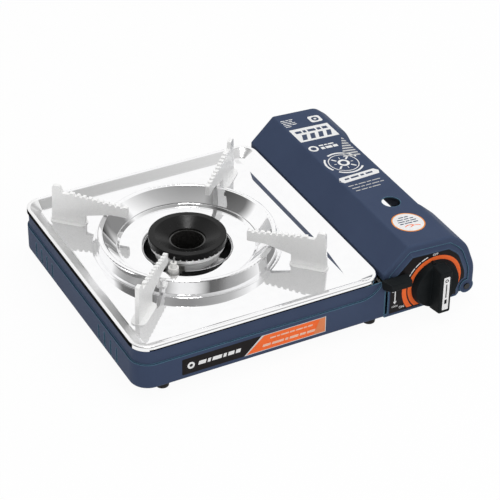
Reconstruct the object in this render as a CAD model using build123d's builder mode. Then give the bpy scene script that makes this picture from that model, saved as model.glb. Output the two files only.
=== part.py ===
from build123d import *
import os
from math import atan2, cos, degrees, radians, sin, sqrt, tan

os.makedirs("parts", exist_ok=True)

# Portable gas stove that burns a butane cartridge.
# Millimetres. +X runs from the burner side to the cartridge bay, +Y from the knob to the back, +Z up.
# The origin lies on the ground, in the middle of the overall length and depth.

# ---------------------------------------------------------------- overall
body_length = 348.6  # left wall to the right side of the cartridge cover
body_depth = 266.6  # front face to back face of the housing
knob_reach = 20.0  # control knob, proud of the front face
ground_clearance = 7.0  # height of the feet
rim_top = 53.1  # top of the drip tray's rim

# ---------------------------------------------------------------- housing
sheet = 1.0  # steel sheet of the housing, cover and partition
joint_overlap = 1.4  # the cover's lip, over the right end of the burner chamber
lower_band_top = 33.5  # the housing is wider below this height
band_step = 1.6  # and the upper band is set back by this much
corner_radius = 18.0
bottom_radius = 3.0
rise_run = 22.0  # where the step sweeps up beside the lever
rise_height = 12.5
rise_end = 3.5  # from the end of the sweep to the end of the chamber
louvre_count = 4
louvre_pitch = 13.0
louvre_width = 2.6
louvre_height = 16.0
louvre_bottom = 11.0
louvre_front_start = 45.0  # first louvre of the front group, from the front face
louvre_back_start = 35.5  # first louvre of the rear group, from the back face
vent_count = 5
vent_pitch = 14.0
vent_length = 46.0
vent_width = 3.4
sill_height = 13.0  # upturned right edge of the bay floor
sill_inset = 13.0  # from the right side to the sill

# ---------------------------------------------------------------- feet
foot_radius = 7.0
foot_tip_inset = 1.0  # the foot narrows by this much towards the ground
foot_side_inset = 28.5  # left pair, from the left wall
foot_joint_inset = 9.5  # right pair, from the chamber's right end
foot_end_inset = 11.0  # from the front and back faces
foot_recess = 3.2
screw_radius = 1.5
screw_head_radius = 2.8
screw_head_height = 1.8
screw_clearance = 0.05  # radial, around a screw or rivet in its hole

# ---------------------------------------------------------------- drip tray
tray_sheet = 0.8
tray_end_gap = 2.4  # the tray is shorter than the burner chamber by this much
tray_reveal = 0.2  # skirt, set back from the lower band
skirt_drop = 4.5  # rim top to the skirt's lower edge
rim_width = 3.2
rim_slope_run = 11.0
floor_drop = 7.1  # rim top to the tray's floor
rim_clearance = 0.1  # rim groove over the housing's edge
burner_offset_x = -7.0  # burner axis from the middle of the tray
burner_offset_y = 7.5
trough_outer_radius = 89.5
trough_depth = 1.8
ridge_foot_radius = 85.6
ridge_radius = 82.4
ridge_height = 14.4  # above the tray's floor
ridge_inner_radius = 80.2
ridge_wall_foot = 77.2  # foot of the ridge's inner wall, before rounding
ridge_wall_round = 9.5
ridge_crest_inset = 1.0
bead_radius = 66.5
bead_rise = 1.6  # inner bead above the tray's floor
annulus_drop = 1.0  # flat ring round the burner, below the tray's floor
annulus_radius = 64.0
tray_hole_radius = 45.5
igniter_notch_radius = 7.8

# ---------------------------------------------------------------- pan supports
support_thickness = 4.0
support_reach = 136.3  # outer edge at the foot, from the burner axis
support_nose_inset = 1.9  # the outer edge comes in by this much on its way up
support_nose_height = 38.5  # above the tray's floor
support_nose_width = 7.4
support_dip_height = 31.0
support_dip_start = 124.5
support_rest_start = 117.0
support_rest_height = 32.8  # start of the toothed edge
support_tip_height = 27.4
support_tip_depth = 10.8
support_tip_radius = 59.0
support_heel_radius = 102.0  # inner edge of the foot
support_heel_height = 10.5
support_knee_radius = 76.0  # the underside falls from here to the heel
support_nose_fillet = 2.4
support_fillet = 1.4
tooth_count = 9
tooth_radius = 1.5
tooth_bite = 0.6  # how far the tooth gaps' centres lie below the edge
foot_plate_width = 15.0
foot_plate_sheet = 1.0
foot_plate_corner = 6.0
foot_plate_margin = 2.4

# ---------------------------------------------------------------- burner
cap_radius = 37.0
cap_flat_radius = 31.0  # inside this radius the cap falls to its mouth
cap_top = 57.0
cap_mouth_radius = 17.6
cap_mouth_drop = 6.2
cap_height = 6.8
cap_wall = 2.2
cap_edge = 1.0
cap_sleeve = 4.0
cap_sleeve_wall = 1.2
port_count = 40
port_width = 1.5
port_depth = 1.6
head_wall = 1.8
head_top_radius = 35.6
head_waist_radius = 31.0
head_base_radius = 26.5
head_base_height = 16.0
head_floor = 4.0
head_waist_bottom = 36.0
head_waist_top = 41.5
head_throat_radius = 15.6
sleeve_clearance = 0.3
bracket_width = 34.0
bracket_sheet = 1.2
bracket_foot = 12.0
bracket_hole_radius = 13.0
head_screw_spread = 21.0
head_screw_depth = 3.0

# ---------------------------------------------------------------- gas path
tube_radius = 7.0
tube_wall = 1.0
tube_height = 25.0
tube_angle = 315.0  # about the burner, from +X
tube_bend_radius = 45.0
tube_fit = 0.05
tube_depth_in_head = 27.0  # burner axis to the tube's end
spigot_length = 8.0  # outlet's end, inside the tube
socket_wall = 1.8
socket_reach = 36.0  # burner axis to the socket's mouth
air_port_radius = 2.4
outlet_y = 28.3  # gas outlet, behind the front face
regulator_radius = 20.5
regulator_front = 8.0  # from the front face to the diaphragm cover
regulator_cover_depth = 3.0
regulator_depth = 20.0
body_round = 1.5
regulator_drop = 4.3  # regulator axis below the cartridge's axis
seat_radius = 15.0
seat_depth = 11.0
seat_bore_radius = 10.3
seat_bore_depth = 6.5
seal_radius = 8.0
seal_bore_radius = 4.0
stem_in_regulator = 6.0
seal_thickness = 1.5
outlet_radius = 7.0
outlet_length = 30.0
jet_radius = 2.6
jet_length = 6.0
jet_bore_radius = 0.9
lug_radius = 5.0
lug_spread = 24.5  # screw axis from the knob's axis
lug_thickness = 5.0

# ---------------------------------------------------------------- cartridge
cartridge_radius = 33.0
cartridge_length = 186.0
cartridge_lift = 1.0  # cartridge above the bay floor
cradle_clearance = 1.0
cradle_length = 150.0
cradle_start = 62.0  # from the front face
cradle_half_width = 31.5
cradle_foot = 26.5
cradle_ramp_inner = 15.0
cradle_ramp_outer = 24.0

# ---------------------------------------------------------------- cover
cover_width = 100.0
cover_setback = 1.6  # cover's ends behind the housing's faces
cover_lip_bottom = 47.8
cover_eave = 54.2
cover_slope_run = 24.4
cover_ridge = 78.0
cover_top_run = 48.5
cover_top_fall = 2.4
shoulder_run = 17.0
shoulder_drop = 13.6
shoulder_foot = 35.0
cover_side_bottom = 13.9
cover_flange = 6.6
cover_gap = 0.6  # between the cover and the fixed panels
cover_edge_radius = 2.4
flange_relief = 3.2  # corner cut from each flange beside the lip
scoop_front = 64.5  # finger scoop in the shoulder, from the front face
scoop_back = 48.5  # and from the back face
scoop_depth = 12.0
scoop_flare = 60.0  # degrees
sight_hole_radius = 9.0
sight_hole_inset = 49.2  # from the right side
sight_hole_front = 76.0  # from the front face
hinge_inset = 7.4  # hinge axis, from the right side
hinge_height = 13.3
hinge_pin_radius = 1.5
hinge_head_radius = 3.0
hinge_head_height = 1.2
hinge_clearance = 0.05
hinge_tail = 0.8
hinge_ear_radius = 5.0

# ---------------------------------------------------------------- front panel
panel_bevel = 4.4
panel_bevel_depth = 2.6
panel_flange = 10.0
panel_edge_gap = 0.4
panel_screw_spacing = 62.0
panel_vent_count = 6
panel_vent_pitch = 8.0
panel_vent_length = 26.0
panel_vent_width = 3.0
panel_vent_height = 44.0  # middle of the air slots in the rear panel
label_thickness = 0.3
label_margin = 0.9
label_side = 5.4  # label's left edge, from the panel's left edge
label_bottom = 9.8
slot_width = 2.8
slot_bottom = 10.3
slot_top = 46.3

# ---------------------------------------------------------------- knob
knob_radius = 25.0
knob_inset = 45.6  # knob axis, from the right side
knob_height = 31.2
knob_gap = 0.7
knob_disc_depth = 6.5
knob_disc_inset = 2.2  # the disc's front is smaller than its back by this much
grip_length = 45.2
grip_width = 12.6
grip_base_length = 48.4
grip_base_width = 14.4
grip_corner = 2.0
knob_edge = 0.8
grip_edge = 1.2
pointer_radius = 1.9  # nub on the disc's edge, beside the top of the grip
pointer_angle = 99.0  # about the knob's axis, from +X
pointer_depth = 4.0
stem_radius = 4.0
stem_clearance = 0.05
stem_flat = 2.8
stem_in_knob = 12.0
stem_hole_radius = 6.5

# ---------------------------------------------------------------- cartridge lever
lever_inset = 96.5  # lever's plane, from the right side
lever_sheet = 1.6
lever_pivot_depth = 16.3  # behind the front face
lever_pivot_height = 30.0
lever_arm_reach = 24.0  # handle axis in front of the pivot
lever_arm_rise = 15.0  # and above it, unlocked
lever_boss_radius = 4.6
lever_tip_radius = 2.8
lever_link_radius = 8.0  # pivot to link pin
link_clearance = 0.15  # pin in the pusher's slot
lever_pin_radius = 2.0
lever_pin_head_radius = 3.4
link_pin_radius = 1.4
handle_left = 11.0  # handle, left of the lever's plane before its end is cut off at a slant
handle_right = 19.2
handle_front = 12.0  # handle's front, proud of the housing's front face
handle_back = 1.5
handle_top = 52.2
handle_face_top = 50.3  # front face of the handle
handle_face_bottom = 43.2
handle_back_bottom = 40.2
handle_edge = 1.3
handle_crown = 2.6  # rounding of the top's rear edge
handle_cut = 3.5  # slanting end, left of the lever's plane
handle_cut_turn = 26.6  # degrees, towards the front
handle_cut_tip = 11.2  # degrees, towards the ground
pivot_clearance = 0.05
pivot_end_play = 0.1

# ---------------------------------------------------------------- cartridge pusher
pusher_sheet = 1.2
pusher_gap = 0.3  # lever to pusher strip
pusher_bottom = 33.6
pusher_strip_height = 8.4
pusher_front = 11.5  # strip's front end, behind the front face
pusher_plate_width = 54.0
pusher_plate_bottom = 12.0
pusher_plate_top = 57.0
pusher_plate_corner = 8.0
pusher_bend = 3.0
pusher_play = 1.2  # pusher to cartridge base, unlocked
stud_radius = 1.5
stud_clearance = 0.2
stud_head_radius = 3.0
stud_head_height = 1.0
stud_front = 58.0  # first guide stud, behind the front face
stud_spacing = 120.0

# ---------------------------------------------------------------- partition
partition_inset = 0.5  # right face, left of the chamber's end
partition_shelf_top = 45.0
partition_flange = 12.0
partition_end_gap = 3.0
lip_end_gap = 20.0
hole_clearance = 1.0

# ---------------------------------------------------------------- ignition
igniter_angle = 228.0  # about the burner, from +X
igniter_radius = 46.2
ceramic_radius = 3.0
ceramic_collar_radius = 5.0
ceramic_bottom = 32.0
ceramic_collar_bottom = 43.0
ceramic_collar_top = 49.2
ceramic_top = 54.6
electrode_radius = 0.8
electrode_rise = 3.6
electrode_offset = 3.2  # tip, towards the burner
electrode_socket = 4.0
clip_sheet = 1.2
clip_width = 12.0
clip_height = 36.4
clip_tab_top = 41.0
clip_corner = 3.0
clip_reach = 24.0  # arm's length, part of it cut away round the burner
piezo_length = 22.0
piezo_depth = 20.0
piezo_height = 8.4
piezo_round = 1.2
piezo_inset = 52.6  # right end, from the right side
piezo_front = 14.2  # behind the front face
lead_radius = 1.1
lead_height = 11.0
lead_socket = 3.0  # lead's end inside the ceramic
lead_run = 90.0  # straight run from the piezo unit to the lead's first bend
lead_bend_radius = 30.0
lead_rise_radius = 8.0

# ================================================================ derived places
overall_depth = body_depth + knob_reach
x_left = -body_length / 2
x_right = body_length / 2
y_front = knob_reach - overall_depth / 2
y_back = y_front + body_depth
y_mid = (y_front + y_back) / 2
chamber_length = body_length - cover_width + joint_overlap
x_joint = x_left + chamber_length
floor_bottom = ground_clearance
floor_top = floor_bottom + sheet

tray_length = chamber_length - tray_end_gap
tray_depth = body_depth - 2 * tray_reveal
tray_left = x_left + tray_reveal
tray_right = tray_left + tray_length
tray_mid = (tray_left + tray_right) / 2
tray_corner = corner_radius - tray_reveal
tray_floor = rim_top - floor_drop
rim_bottom = rim_top - tray_sheet
burner_x = tray_mid + burner_offset_x
burner_y = y_mid + burner_offset_y

igniter_x = burner_x + igniter_radius * cos(radians(igniter_angle))
igniter_y = burner_y + igniter_radius * sin(radians(igniter_angle))

cover_left = x_right - cover_width
cover_front = y_front + cover_setback
cover_back = y_back - cover_setback
panel_front = cover_front + sheet + cover_gap
panel_back = cover_back - sheet - cover_gap
hinge_x = x_right - hinge_inset
sill_x = x_right - sill_inset
knob_x = x_right - knob_inset
cartridge_height = floor_top + cartridge_lift + cartridge_radius
regulator_height = cartridge_height - regulator_drop

lever_x = x_right - lever_inset
lever_pivot_y = y_front + lever_pivot_depth
handle_y = lever_pivot_y - lever_arm_reach
handle_z = lever_pivot_height + lever_arm_rise
half_swing = atan2(lever_arm_rise, lever_arm_reach)
pusher_travel = 2 * lever_link_radius * sin(half_swing)
link_y = lever_pivot_y + lever_link_radius * sin(half_swing)
link_z = lever_pivot_height + lever_link_radius * cos(half_swing)
strip_x = lever_x + lever_sheet / 2 + pusher_gap
partition_x = x_joint - partition_inset - sheet / 2
groove_offset = band_step - tray_reveal
lip_x = tray_right - groove_offset - sheet / 2

outlet_line_y = y_front + outlet_y
outlet_end_x = knob_x - outlet_length
regulator_y = y_front + regulator_front + regulator_cover_depth
seat_base_y = regulator_y + regulator_depth
seat_y = seat_base_y + seat_depth
cartridge_end_y = seat_y - seat_bore_depth + cartridge_length
pusher_plate_y = cartridge_end_y + pusher_travel + pusher_play

foot_places = [
    (x, y)
    for x in (x_left + foot_side_inset, x_joint - foot_joint_inset)
    for y in (y_front + foot_end_inset, y_back - foot_end_inset)
]
panel_left = x_joint + panel_edge_gap
panel_flange_length = hinge_x - hinge_inset - 2 * cover_gap - panel_left
panel_screw_places = [
    (panel_left + panel_flange_length / 2 + side * panel_screw_spacing / 2, y)
    for y in (panel_front + sheet + panel_flange / 2, panel_back - panel_flange / 2)
    for side in (-1, 1)
]
bracket_leg = head_base_radius + bracket_sheet
bracket_screw_places = [(burner_x + side * (bracket_leg + bracket_foot / 2), burner_y) for side in (-1, 1)]
cartridge_axis = (knob_x, cartridge_height)
head_screw_places = [(burner_x + side * head_screw_spread, burner_y) for side in (-1, 1)]
lug_places = [(knob_x + side * lug_spread, knob_height) for side in (-1, 1)]
stud_height = pusher_bottom + pusher_strip_height / 2
stud_places = [(y_front + stud_front + place * stud_spacing, stud_height) for place in (0, 1)]
piezo_right = x_right - piezo_inset
piezo_y = y_front + piezo_front + piezo_depth / 2
hinge_axis = (hinge_x, hinge_height)
knob_axis = (knob_x, knob_height)
screw_hole_radius = screw_radius + screw_clearance


# ================================================================ helpers
def wall_plane(y):
    """Upright plane at depth y, facing the front. Local x is X and local y is Z."""
    return Plane.XZ.offset(-y)


def side_plane(x):
    """Upright plane at x, facing right. Local x is Y and local y is Z."""
    return Plane.YZ.offset(x)


def strip(points, radii, width):
    """Section of a bent sheet: a band of constant width along a rounded polyline."""
    with BuildSketch() as band:
        with BuildLine():
            FilletPolyline(*points, radius=radii)
        trace(line_width=width)
    return band.sketch_local


def fastener(
    seat,
    toward,
    length,
    radius=screw_radius,
    head_radius=screw_head_radius,
    head_height=screw_head_height,
):
    """Headed pin. The underside of its head lies at seat, and its shank points toward a direction."""
    with BuildPart() as pin:
        with BuildSketch(Plane(origin=seat, z_dir=toward)):
            Circle(radius)
        extrude(amount=length)
        with BuildSketch(Plane(origin=seat, z_dir=toward)):
            Circle(head_radius)
        extrude(amount=-head_height)
    return pin.part


def stem_section(clearance):
    """Flatted round of the valve stem inside the knob."""
    with BuildSketch() as section:
        with Locations(knob_axis):
            Circle(stem_radius + clearance)
            with Locations((0, stem_flat + clearance)):
                Rectangle(3 * stem_radius, stem_radius, align=(Align.CENTER, Align.MIN), mode=Mode.SUBTRACT)
    return section.sketch_local


def lever_outline(clearance):
    """Side view of the lever's arm, from the pivot to the handle and up to the link pin."""
    with BuildSketch() as outline:
        with BuildSketch(mode=Mode.PRIVATE) as arm:
            with Locations((lever_pivot_y, lever_pivot_height)):
                Circle(lever_boss_radius + clearance)
            with Locations((handle_y, handle_z)):
                Circle(lever_tip_radius + clearance)
            make_hull()
        with BuildSketch(mode=Mode.PRIVATE) as link:
            with Locations((lever_pivot_y, lever_pivot_height)):
                Circle(lever_boss_radius + clearance)
            with Locations((link_y, link_z)):
                Circle(2 * link_pin_radius + clearance)
            make_hull()
        add(arm.sketch)
        add(link.sketch)
    return outline.sketch_local


def chamber_block(setback, bottom, top, edge_radius):
    """Block as long as the burner chamber, its walls set back from the housing's faces."""
    with BuildPart() as block:
        with BuildSketch(Plane.XY.offset(bottom)) as outline:
            with Locations((x_left + (chamber_length + setback) / 2, y_mid)):
                Rectangle(chamber_length - setback, body_depth - 2 * setback)
            fillet(outline.vertices().group_by(Axis.X)[0], corner_radius - setback)
        extrude(amount=top - bottom)
        if edge_radius > 0:
            fillet(block.faces().sort_by(Axis.Z)[0].edges().sort_by(Axis.X)[:-1], edge_radius)
    return block.part


def rise_block(inset):
    """Sweep of the proud lower band up to the lever, at the right end of the front wall."""
    end_x = x_joint - rise_end + inset
    start = (end_x - rise_run, lower_band_top - inset)
    end = (end_x, lower_band_top + rise_height - inset)
    base = lower_band_top - band_step - sheet
    with BuildPart() as block:
        with BuildSketch(wall_plane(y_front + inset)):
            with BuildLine():
                sweep_up = TangentArc(start, end, tangent=(1, 0))
                Polyline(sweep_up @ 1, (x_joint, end[1]), (x_joint, base), (start[0], base), sweep_up @ 0)
            make_face()
        extrude(amount=-(band_step + sheet / 2))
    return block.part


# Corners of the cover's section, from the lip beside the tray over the ridge to the right side.
section_foot = -20.0
ridge_x = cover_left + cover_slope_run
shoulder_x = ridge_x + cover_top_run
shoulder_z = cover_ridge - cover_top_fall
cover_corners = [
    (cover_left, section_foot),
    (cover_left, cover_eave),
    (ridge_x, cover_ridge),
    (shoulder_x, shoulder_z),
    (shoulder_x + shoulder_run, shoulder_z - shoulder_drop),
    (x_right, shoulder_foot),
    (x_right, section_foot),
]
cover_corner_radii = [0, 2.0, 3.0, 14.0, 32.0, 36.0, 0]


def cover_section(inset):
    """Closed outline of the cover, moved inward by inset and left open-ended below."""
    with BuildSketch() as section:
        with BuildLine():
            FilletPolyline(*cover_corners, radius=cover_corner_radii, close=True)
        make_face()
        if inset > 0:
            offset(amount=-inset, kind=Kind.INTERSECTION, mode=Mode.REPLACE)
    return section.sketch_local


def scoop_tool(inset):
    """Wedge that flattens the shoulder of the cover between its two ends."""
    chord = Vector(x_right - shoulder_x, 0, shoulder_foot - shoulder_z)
    outward = Vector(-chord.Z, 0, chord.X).normalized()
    middle = Vector((x_right + shoulder_x) / 2, 0, (shoulder_foot + shoulder_z) / 2)
    start = y_front + scoop_front - inset * tan(radians(45 - scoop_flare / 2))
    end = y_back - scoop_back + inset * tan(radians(45 - scoop_flare / 2))
    base = middle - outward * inset
    base = Vector(base.X, (start + end) / 2, base.Z)
    spread = 2 * (scoop_depth + inset) * tan(radians(scoop_flare))
    with BuildPart() as tool:
        with BuildSketch(Plane(origin=base, x_dir=(0, 1, 0), z_dir=outward)):
            Rectangle(end - start, chord.length)
        far = base + outward * (scoop_depth + inset)
        with BuildSketch(Plane(origin=far, x_dir=(0, 1, 0), z_dir=outward)):
            Rectangle(end - start + spread, chord.length + spread)
        loft(ruled=True)
    return tool.part


def cover_block(inset):
    """Outer form of the cartridge cover, with every face moved inward by inset."""
    with BuildPart() as block:
        with BuildSketch(wall_plane(cover_front + inset)):
            add(cover_section(inset))
        extrude(amount=-(cover_back - cover_front - 2 * inset))
        ends = block.faces().sort_by(Axis.Y)[0].edges() + block.faces().sort_by(Axis.Y)[-1].edges()
        fillet(ends, cover_edge_radius - inset)
        add(scoop_tool(inset), mode=Mode.SUBTRACT)
    return block.part


def panel_plate(y):
    """Flat plate that closes one end of the bay inside the cover, with an ear for the hinge pin."""
    with BuildPart() as plate:
        with BuildSketch(wall_plane(y)):
            add(cover_section(sheet + cover_gap))
            with Locations((panel_left, floor_top)):
                Rectangle(cover_width, 2 * cover_ridge, align=(Align.MIN, Align.MIN), mode=Mode.INTERSECT)
            with Locations((sill_x + sheet, 0)):
                Rectangle(cover_width, hinge_height, align=(Align.MIN, Align.MIN), mode=Mode.SUBTRACT)
            with Locations(hinge_axis):
                Circle(hinge_ear_radius)
                Circle(hinge_pin_radius + screw_clearance, mode=Mode.SUBTRACT)
        extrude(amount=-sheet)
    return plate.part


def boss_outline(inset, bottom):
    """Outline of the raised control panel above a bottom height, inside the cover's front flange."""
    clear = hinge_inset + cover_gap + inset
    ledge_top = cover_lip_bottom - cover_gap - inset
    with BuildSketch() as outline:
        add(cover_section(cover_flange + cover_gap + inset))
        with Locations((panel_left + inset, bottom)):
            Rectangle(cover_width, 2 * cover_ridge, align=(Align.MIN, Align.MIN), mode=Mode.INTERSECT)
            Rectangle(2 * cover_flange, ledge_top - bottom, align=(Align.MIN, Align.MIN))
        with Locations((hinge_x - clear, 0)):
            Rectangle(cover_width, hinge_height, align=(Align.MIN, Align.MIN), mode=Mode.SUBTRACT)
        with Locations(hinge_axis):
            Circle(clear, mode=Mode.SUBTRACT)
    return outline.sketch_local


def boss_block(inset):
    """Raised control panel with its bevelled rim, every face moved inward by inset."""
    with BuildPart() as block:
        with BuildSketch(wall_plane(y_front + inset)):
            add(boss_outline(inset, floor_bottom + inset))
        extrude(amount=-(panel_front + sheet - y_front - inset))
        rim = block.faces().sort_by(Axis.Y)[0].edges()
        rim = rim.filter_by(lambda edge: edge.center().X > panel_left + inset + cover_gap)
        rim = rim.filter_by(lambda edge: edge.center().Z > floor_bottom + inset + cover_gap)
        chamfer(rim, panel_bevel, panel_bevel_depth, reference=block.faces().sort_by(Axis.Y)[0])
    return block.part


# ================================================================ housing
with BuildPart() as body_shell:
    add(chamber_block(0, floor_bottom, lower_band_top, bottom_radius))
    add(chamber_block(band_step, floor_top + bottom_radius, rim_bottom - rim_clearance, 0))
    add(rise_block(0))
    add(chamber_block(sheet, floor_top, lower_band_top - sheet, bottom_radius - sheet), mode=Mode.SUBTRACT)
    add(chamber_block(band_step + sheet, floor_top, rim_top, 0), mode=Mode.SUBTRACT)
    add(rise_block(sheet), mode=Mode.SUBTRACT)
    # The walls drop where the tray's right-hand corners curve away.
    with BuildSketch(Plane.XY.offset(cover_lip_bottom - cover_gap)):
        with Locations((tray_right - tray_corner, y_mid)):
            Rectangle(body_length, 2 * body_depth, align=(Align.MIN, Align.CENTER))
    extrude(amount=rim_top, mode=Mode.SUBTRACT)
    # Floor of the cartridge bay, with an upturned edge.
    with BuildSketch(Plane.XY.offset(floor_bottom)):
        with Locations((x_joint - sheet, panel_front + sheet)):
            Rectangle(sill_x - x_joint + 2 * sheet, panel_back - panel_front - sheet, align=(Align.MIN, Align.MIN))
    extrude(amount=sheet)
    with BuildSketch(Plane.XY.offset(floor_bottom)):
        with Locations((sill_x, panel_front + sheet)):
            Rectangle(sheet, panel_back - panel_front - 2 * sheet, align=(Align.MIN, Align.MIN))
    extrude(amount=sill_height)
    # Louvres in the left wall.
    louvre_starts = (
        y_front + louvre_front_start + (louvre_count - 1) * louvre_pitch / 2,
        y_back - louvre_back_start - (louvre_count - 1) * louvre_pitch / 2,
    )
    with BuildSketch(side_plane(x_left - sheet)):
        with Locations(*[(y, louvre_bottom + louvre_height / 2) for y in louvre_starts]):
            with GridLocations(louvre_pitch, 0, louvre_count, 1):
                SlotOverall(louvre_height, louvre_width, rotation=90)
    extrude(amount=3 * sheet, mode=Mode.SUBTRACT)
    # Air slots, foot screws and bracket screws in the floor.
    with BuildSketch(Plane.XY.offset(floor_bottom - sheet)):
        with Locations((burner_x - bracket_leg - bracket_foot - vent_count * vent_pitch / 2, burner_y)):
            with GridLocations(vent_pitch, 0, vent_count, 1):
                SlotOverall(vent_length, vent_width, rotation=90)
        with Locations(*foot_places, *bracket_screw_places, *panel_screw_places):
            Circle(screw_hole_radius)
    extrude(amount=3 * sheet, mode=Mode.SUBTRACT)
body_shell.part.label = "body_shell"
export_step(body_shell.part, "parts/body_shell.step")

with BuildPart() as front_panel:
    add(panel_plate(panel_front))
    add(boss_block(0))
    add(boss_block(sheet), mode=Mode.SUBTRACT)
    with BuildSketch(Plane.XY.offset(floor_top)):
        with Locations((panel_left, panel_front)):
            Rectangle(panel_flange_length, panel_flange, align=(Align.MIN, Align.MIN))
    extrude(amount=sheet)
    with BuildSketch(Plane.XY.offset(floor_bottom)):
        with Locations(*panel_screw_places[:2]):
            Circle(screw_hole_radius)
    extrude(amount=3 * sheet, mode=Mode.SUBTRACT)
    with BuildSketch(wall_plane(y_front - sheet)):
        with Locations((lever_x, (slot_bottom + slot_top) / 2)):
            SlotOverall(slot_top - slot_bottom, slot_width, rotation=90)
        with Locations(knob_axis):
            Circle(stem_hole_radius)
        with Locations(*lug_places):
            Circle(screw_hole_radius)
    extrude(amount=-(panel_front + 2 * sheet - y_front + sheet), mode=Mode.SUBTRACT)
front_panel.part.label = "front_panel"
export_step(front_panel.part, "parts/front_panel.step")

with BuildPart() as rear_panel:
    add(panel_plate(panel_back - sheet))
    with BuildSketch(Plane.XY.offset(floor_top)):
        with Locations((panel_left, panel_back - panel_flange)):
            Rectangle(panel_flange_length, panel_flange, align=(Align.MIN, Align.MIN))
    extrude(amount=sheet)
    with BuildSketch(Plane.XY.offset(floor_bottom)):
        with Locations(*panel_screw_places[2:]):
            Circle(screw_hole_radius)
    extrude(amount=3 * sheet, mode=Mode.SUBTRACT)
    with BuildSketch(wall_plane(panel_back + sheet)):
        with Locations((knob_x, panel_vent_height)):
            with GridLocations(panel_vent_pitch, 0, panel_vent_count, 1):
                SlotOverall(panel_vent_length, panel_vent_width, rotation=90)
    extrude(amount=3 * sheet, mode=Mode.SUBTRACT)
rear_panel.part.label = "rear_panel"
export_step(rear_panel.part, "parts/rear_panel.step")

with BuildPart() as bay_partition:
    wall_x = partition_x
    flange_z = floor_top + sheet / 2
    shelf_z = partition_shelf_top - sheet / 2
    wall_points = [(wall_x - partition_flange, flange_z), (wall_x, flange_z), (wall_x, shelf_z), (lip_x, shelf_z)]
    with BuildSketch(wall_plane(y_front + partition_end_gap)):
        add(strip(wall_points, sheet, sheet))
    extrude(amount=-(body_depth - 2 * partition_end_gap))
    # Upturned lip under the tray's rim.
    with BuildSketch(wall_plane(y_front + lip_end_gap)):
        with Locations((lip_x, partition_shelf_top - sheet)):
            lip_height = rim_bottom - rim_clearance - partition_shelf_top + sheet
            Rectangle(sheet, lip_height, align=(Align.CENTER, Align.MIN))
    extrude(amount=-(body_depth - 2 * lip_end_gap))
    # Holes for the mixing tube, the ignition lead, the lever's pivot and the guide studs.
    with BuildSketch(side_plane(partition_x - sheet)):
        with Locations((outlet_line_y, tube_height)):
            Circle(tube_radius + hole_clearance)
        with Locations((piezo_y, lead_height)):
            Circle(lead_radius + hole_clearance)
        with Locations((lever_pivot_y, lever_pivot_height)):
            Circle(lever_pin_radius + screw_clearance)
        with Locations(*stud_places):
            Circle(stud_radius + screw_clearance)
    extrude(amount=2 * sheet, mode=Mode.SUBTRACT)
    with BuildSketch(Plane.XY.offset(floor_bottom)):
        with Locations(*foot_places):
            Circle(screw_hole_radius)
    extrude(amount=3 * sheet, mode=Mode.SUBTRACT)
bay_partition.part.label = "bay_partition"
export_step(bay_partition.part, "parts/bay_partition.step")

with BuildPart() as control_label:
    with BuildSketch(wall_plane(y_front)):
        add(boss_outline(panel_bevel + label_margin, label_bottom))
        with Locations((x_joint + label_side, 0)):
            Rectangle(cover_width, cover_ridge, align=(Align.MIN, Align.MIN), mode=Mode.INTERSECT)
        with Locations(knob_axis):
            Circle(stem_hole_radius, mode=Mode.SUBTRACT)
    extrude(amount=label_thickness)
control_label.part.label = "control_label"
export_step(control_label.part, "parts/control_label.step")

with BuildPart() as cartridge_cradle:
    cradle_ring = cartridge_radius + cradle_clearance + sheet / 2
    cradle_side = [
        (cradle_half_width, floor_top + sheet / 2),
        (cradle_foot, floor_top + sheet / 2),
        (cradle_ramp_outer, cartridge_height - sqrt(cradle_ring**2 - cradle_ramp_outer**2)),
        (cradle_ramp_inner, cartridge_height - sqrt(cradle_ring**2 - cradle_ramp_inner**2)),
        (cradle_ramp_inner - 2 * sheet, floor_top + sheet / 2),
    ]
    cradle_points = [(knob_x - x, z) for x, z in cradle_side] + [(knob_x + x, z) for x, z in cradle_side[::-1]]
    with BuildSketch(wall_plane(y_front + cradle_start)):
        add(strip(cradle_points, sheet, sheet))
    extrude(amount=-cradle_length)
cartridge_cradle.part.label = "cartridge_cradle"
export_step(cartridge_cradle.part, "parts/cartridge_cradle.step")

with BuildPart() as feet:
    with BuildSketch(Plane.XY.offset(floor_bottom)):
        with Locations(*foot_places):
            Circle(foot_radius)
    extrude(amount=-floor_bottom, taper=degrees(atan2(foot_tip_inset, floor_bottom)))
    with BuildSketch(Plane.XY):
        with Locations(*foot_places):
            Circle(foot_recess)
    extrude(amount=foot_recess, mode=Mode.SUBTRACT)
    with BuildSketch(Plane.XY):
        with Locations(*foot_places):
            Circle(screw_hole_radius)
    extrude(amount=floor_bottom, mode=Mode.SUBTRACT)
feet.part.label = "feet"
export_step(feet.part, "parts/feet.step")

with BuildPart() as foot_screws:
    for x, y in foot_places:
        add(fastener((x, y, foot_recess), (0, 0, 1), floor_top + 2 * sheet - foot_recess))
foot_screws.part.label = "foot_screws"
export_step(foot_screws.part, "parts/foot_screws.step")

with BuildPart() as panel_screws:
    for x, y in panel_screw_places:
        add(fastener((x, y, floor_bottom), (0, 0, 1), 3 * sheet))
panel_screws.part.label = "panel_screws"
export_step(panel_screws.part, "parts/panel_screws.step")

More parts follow.
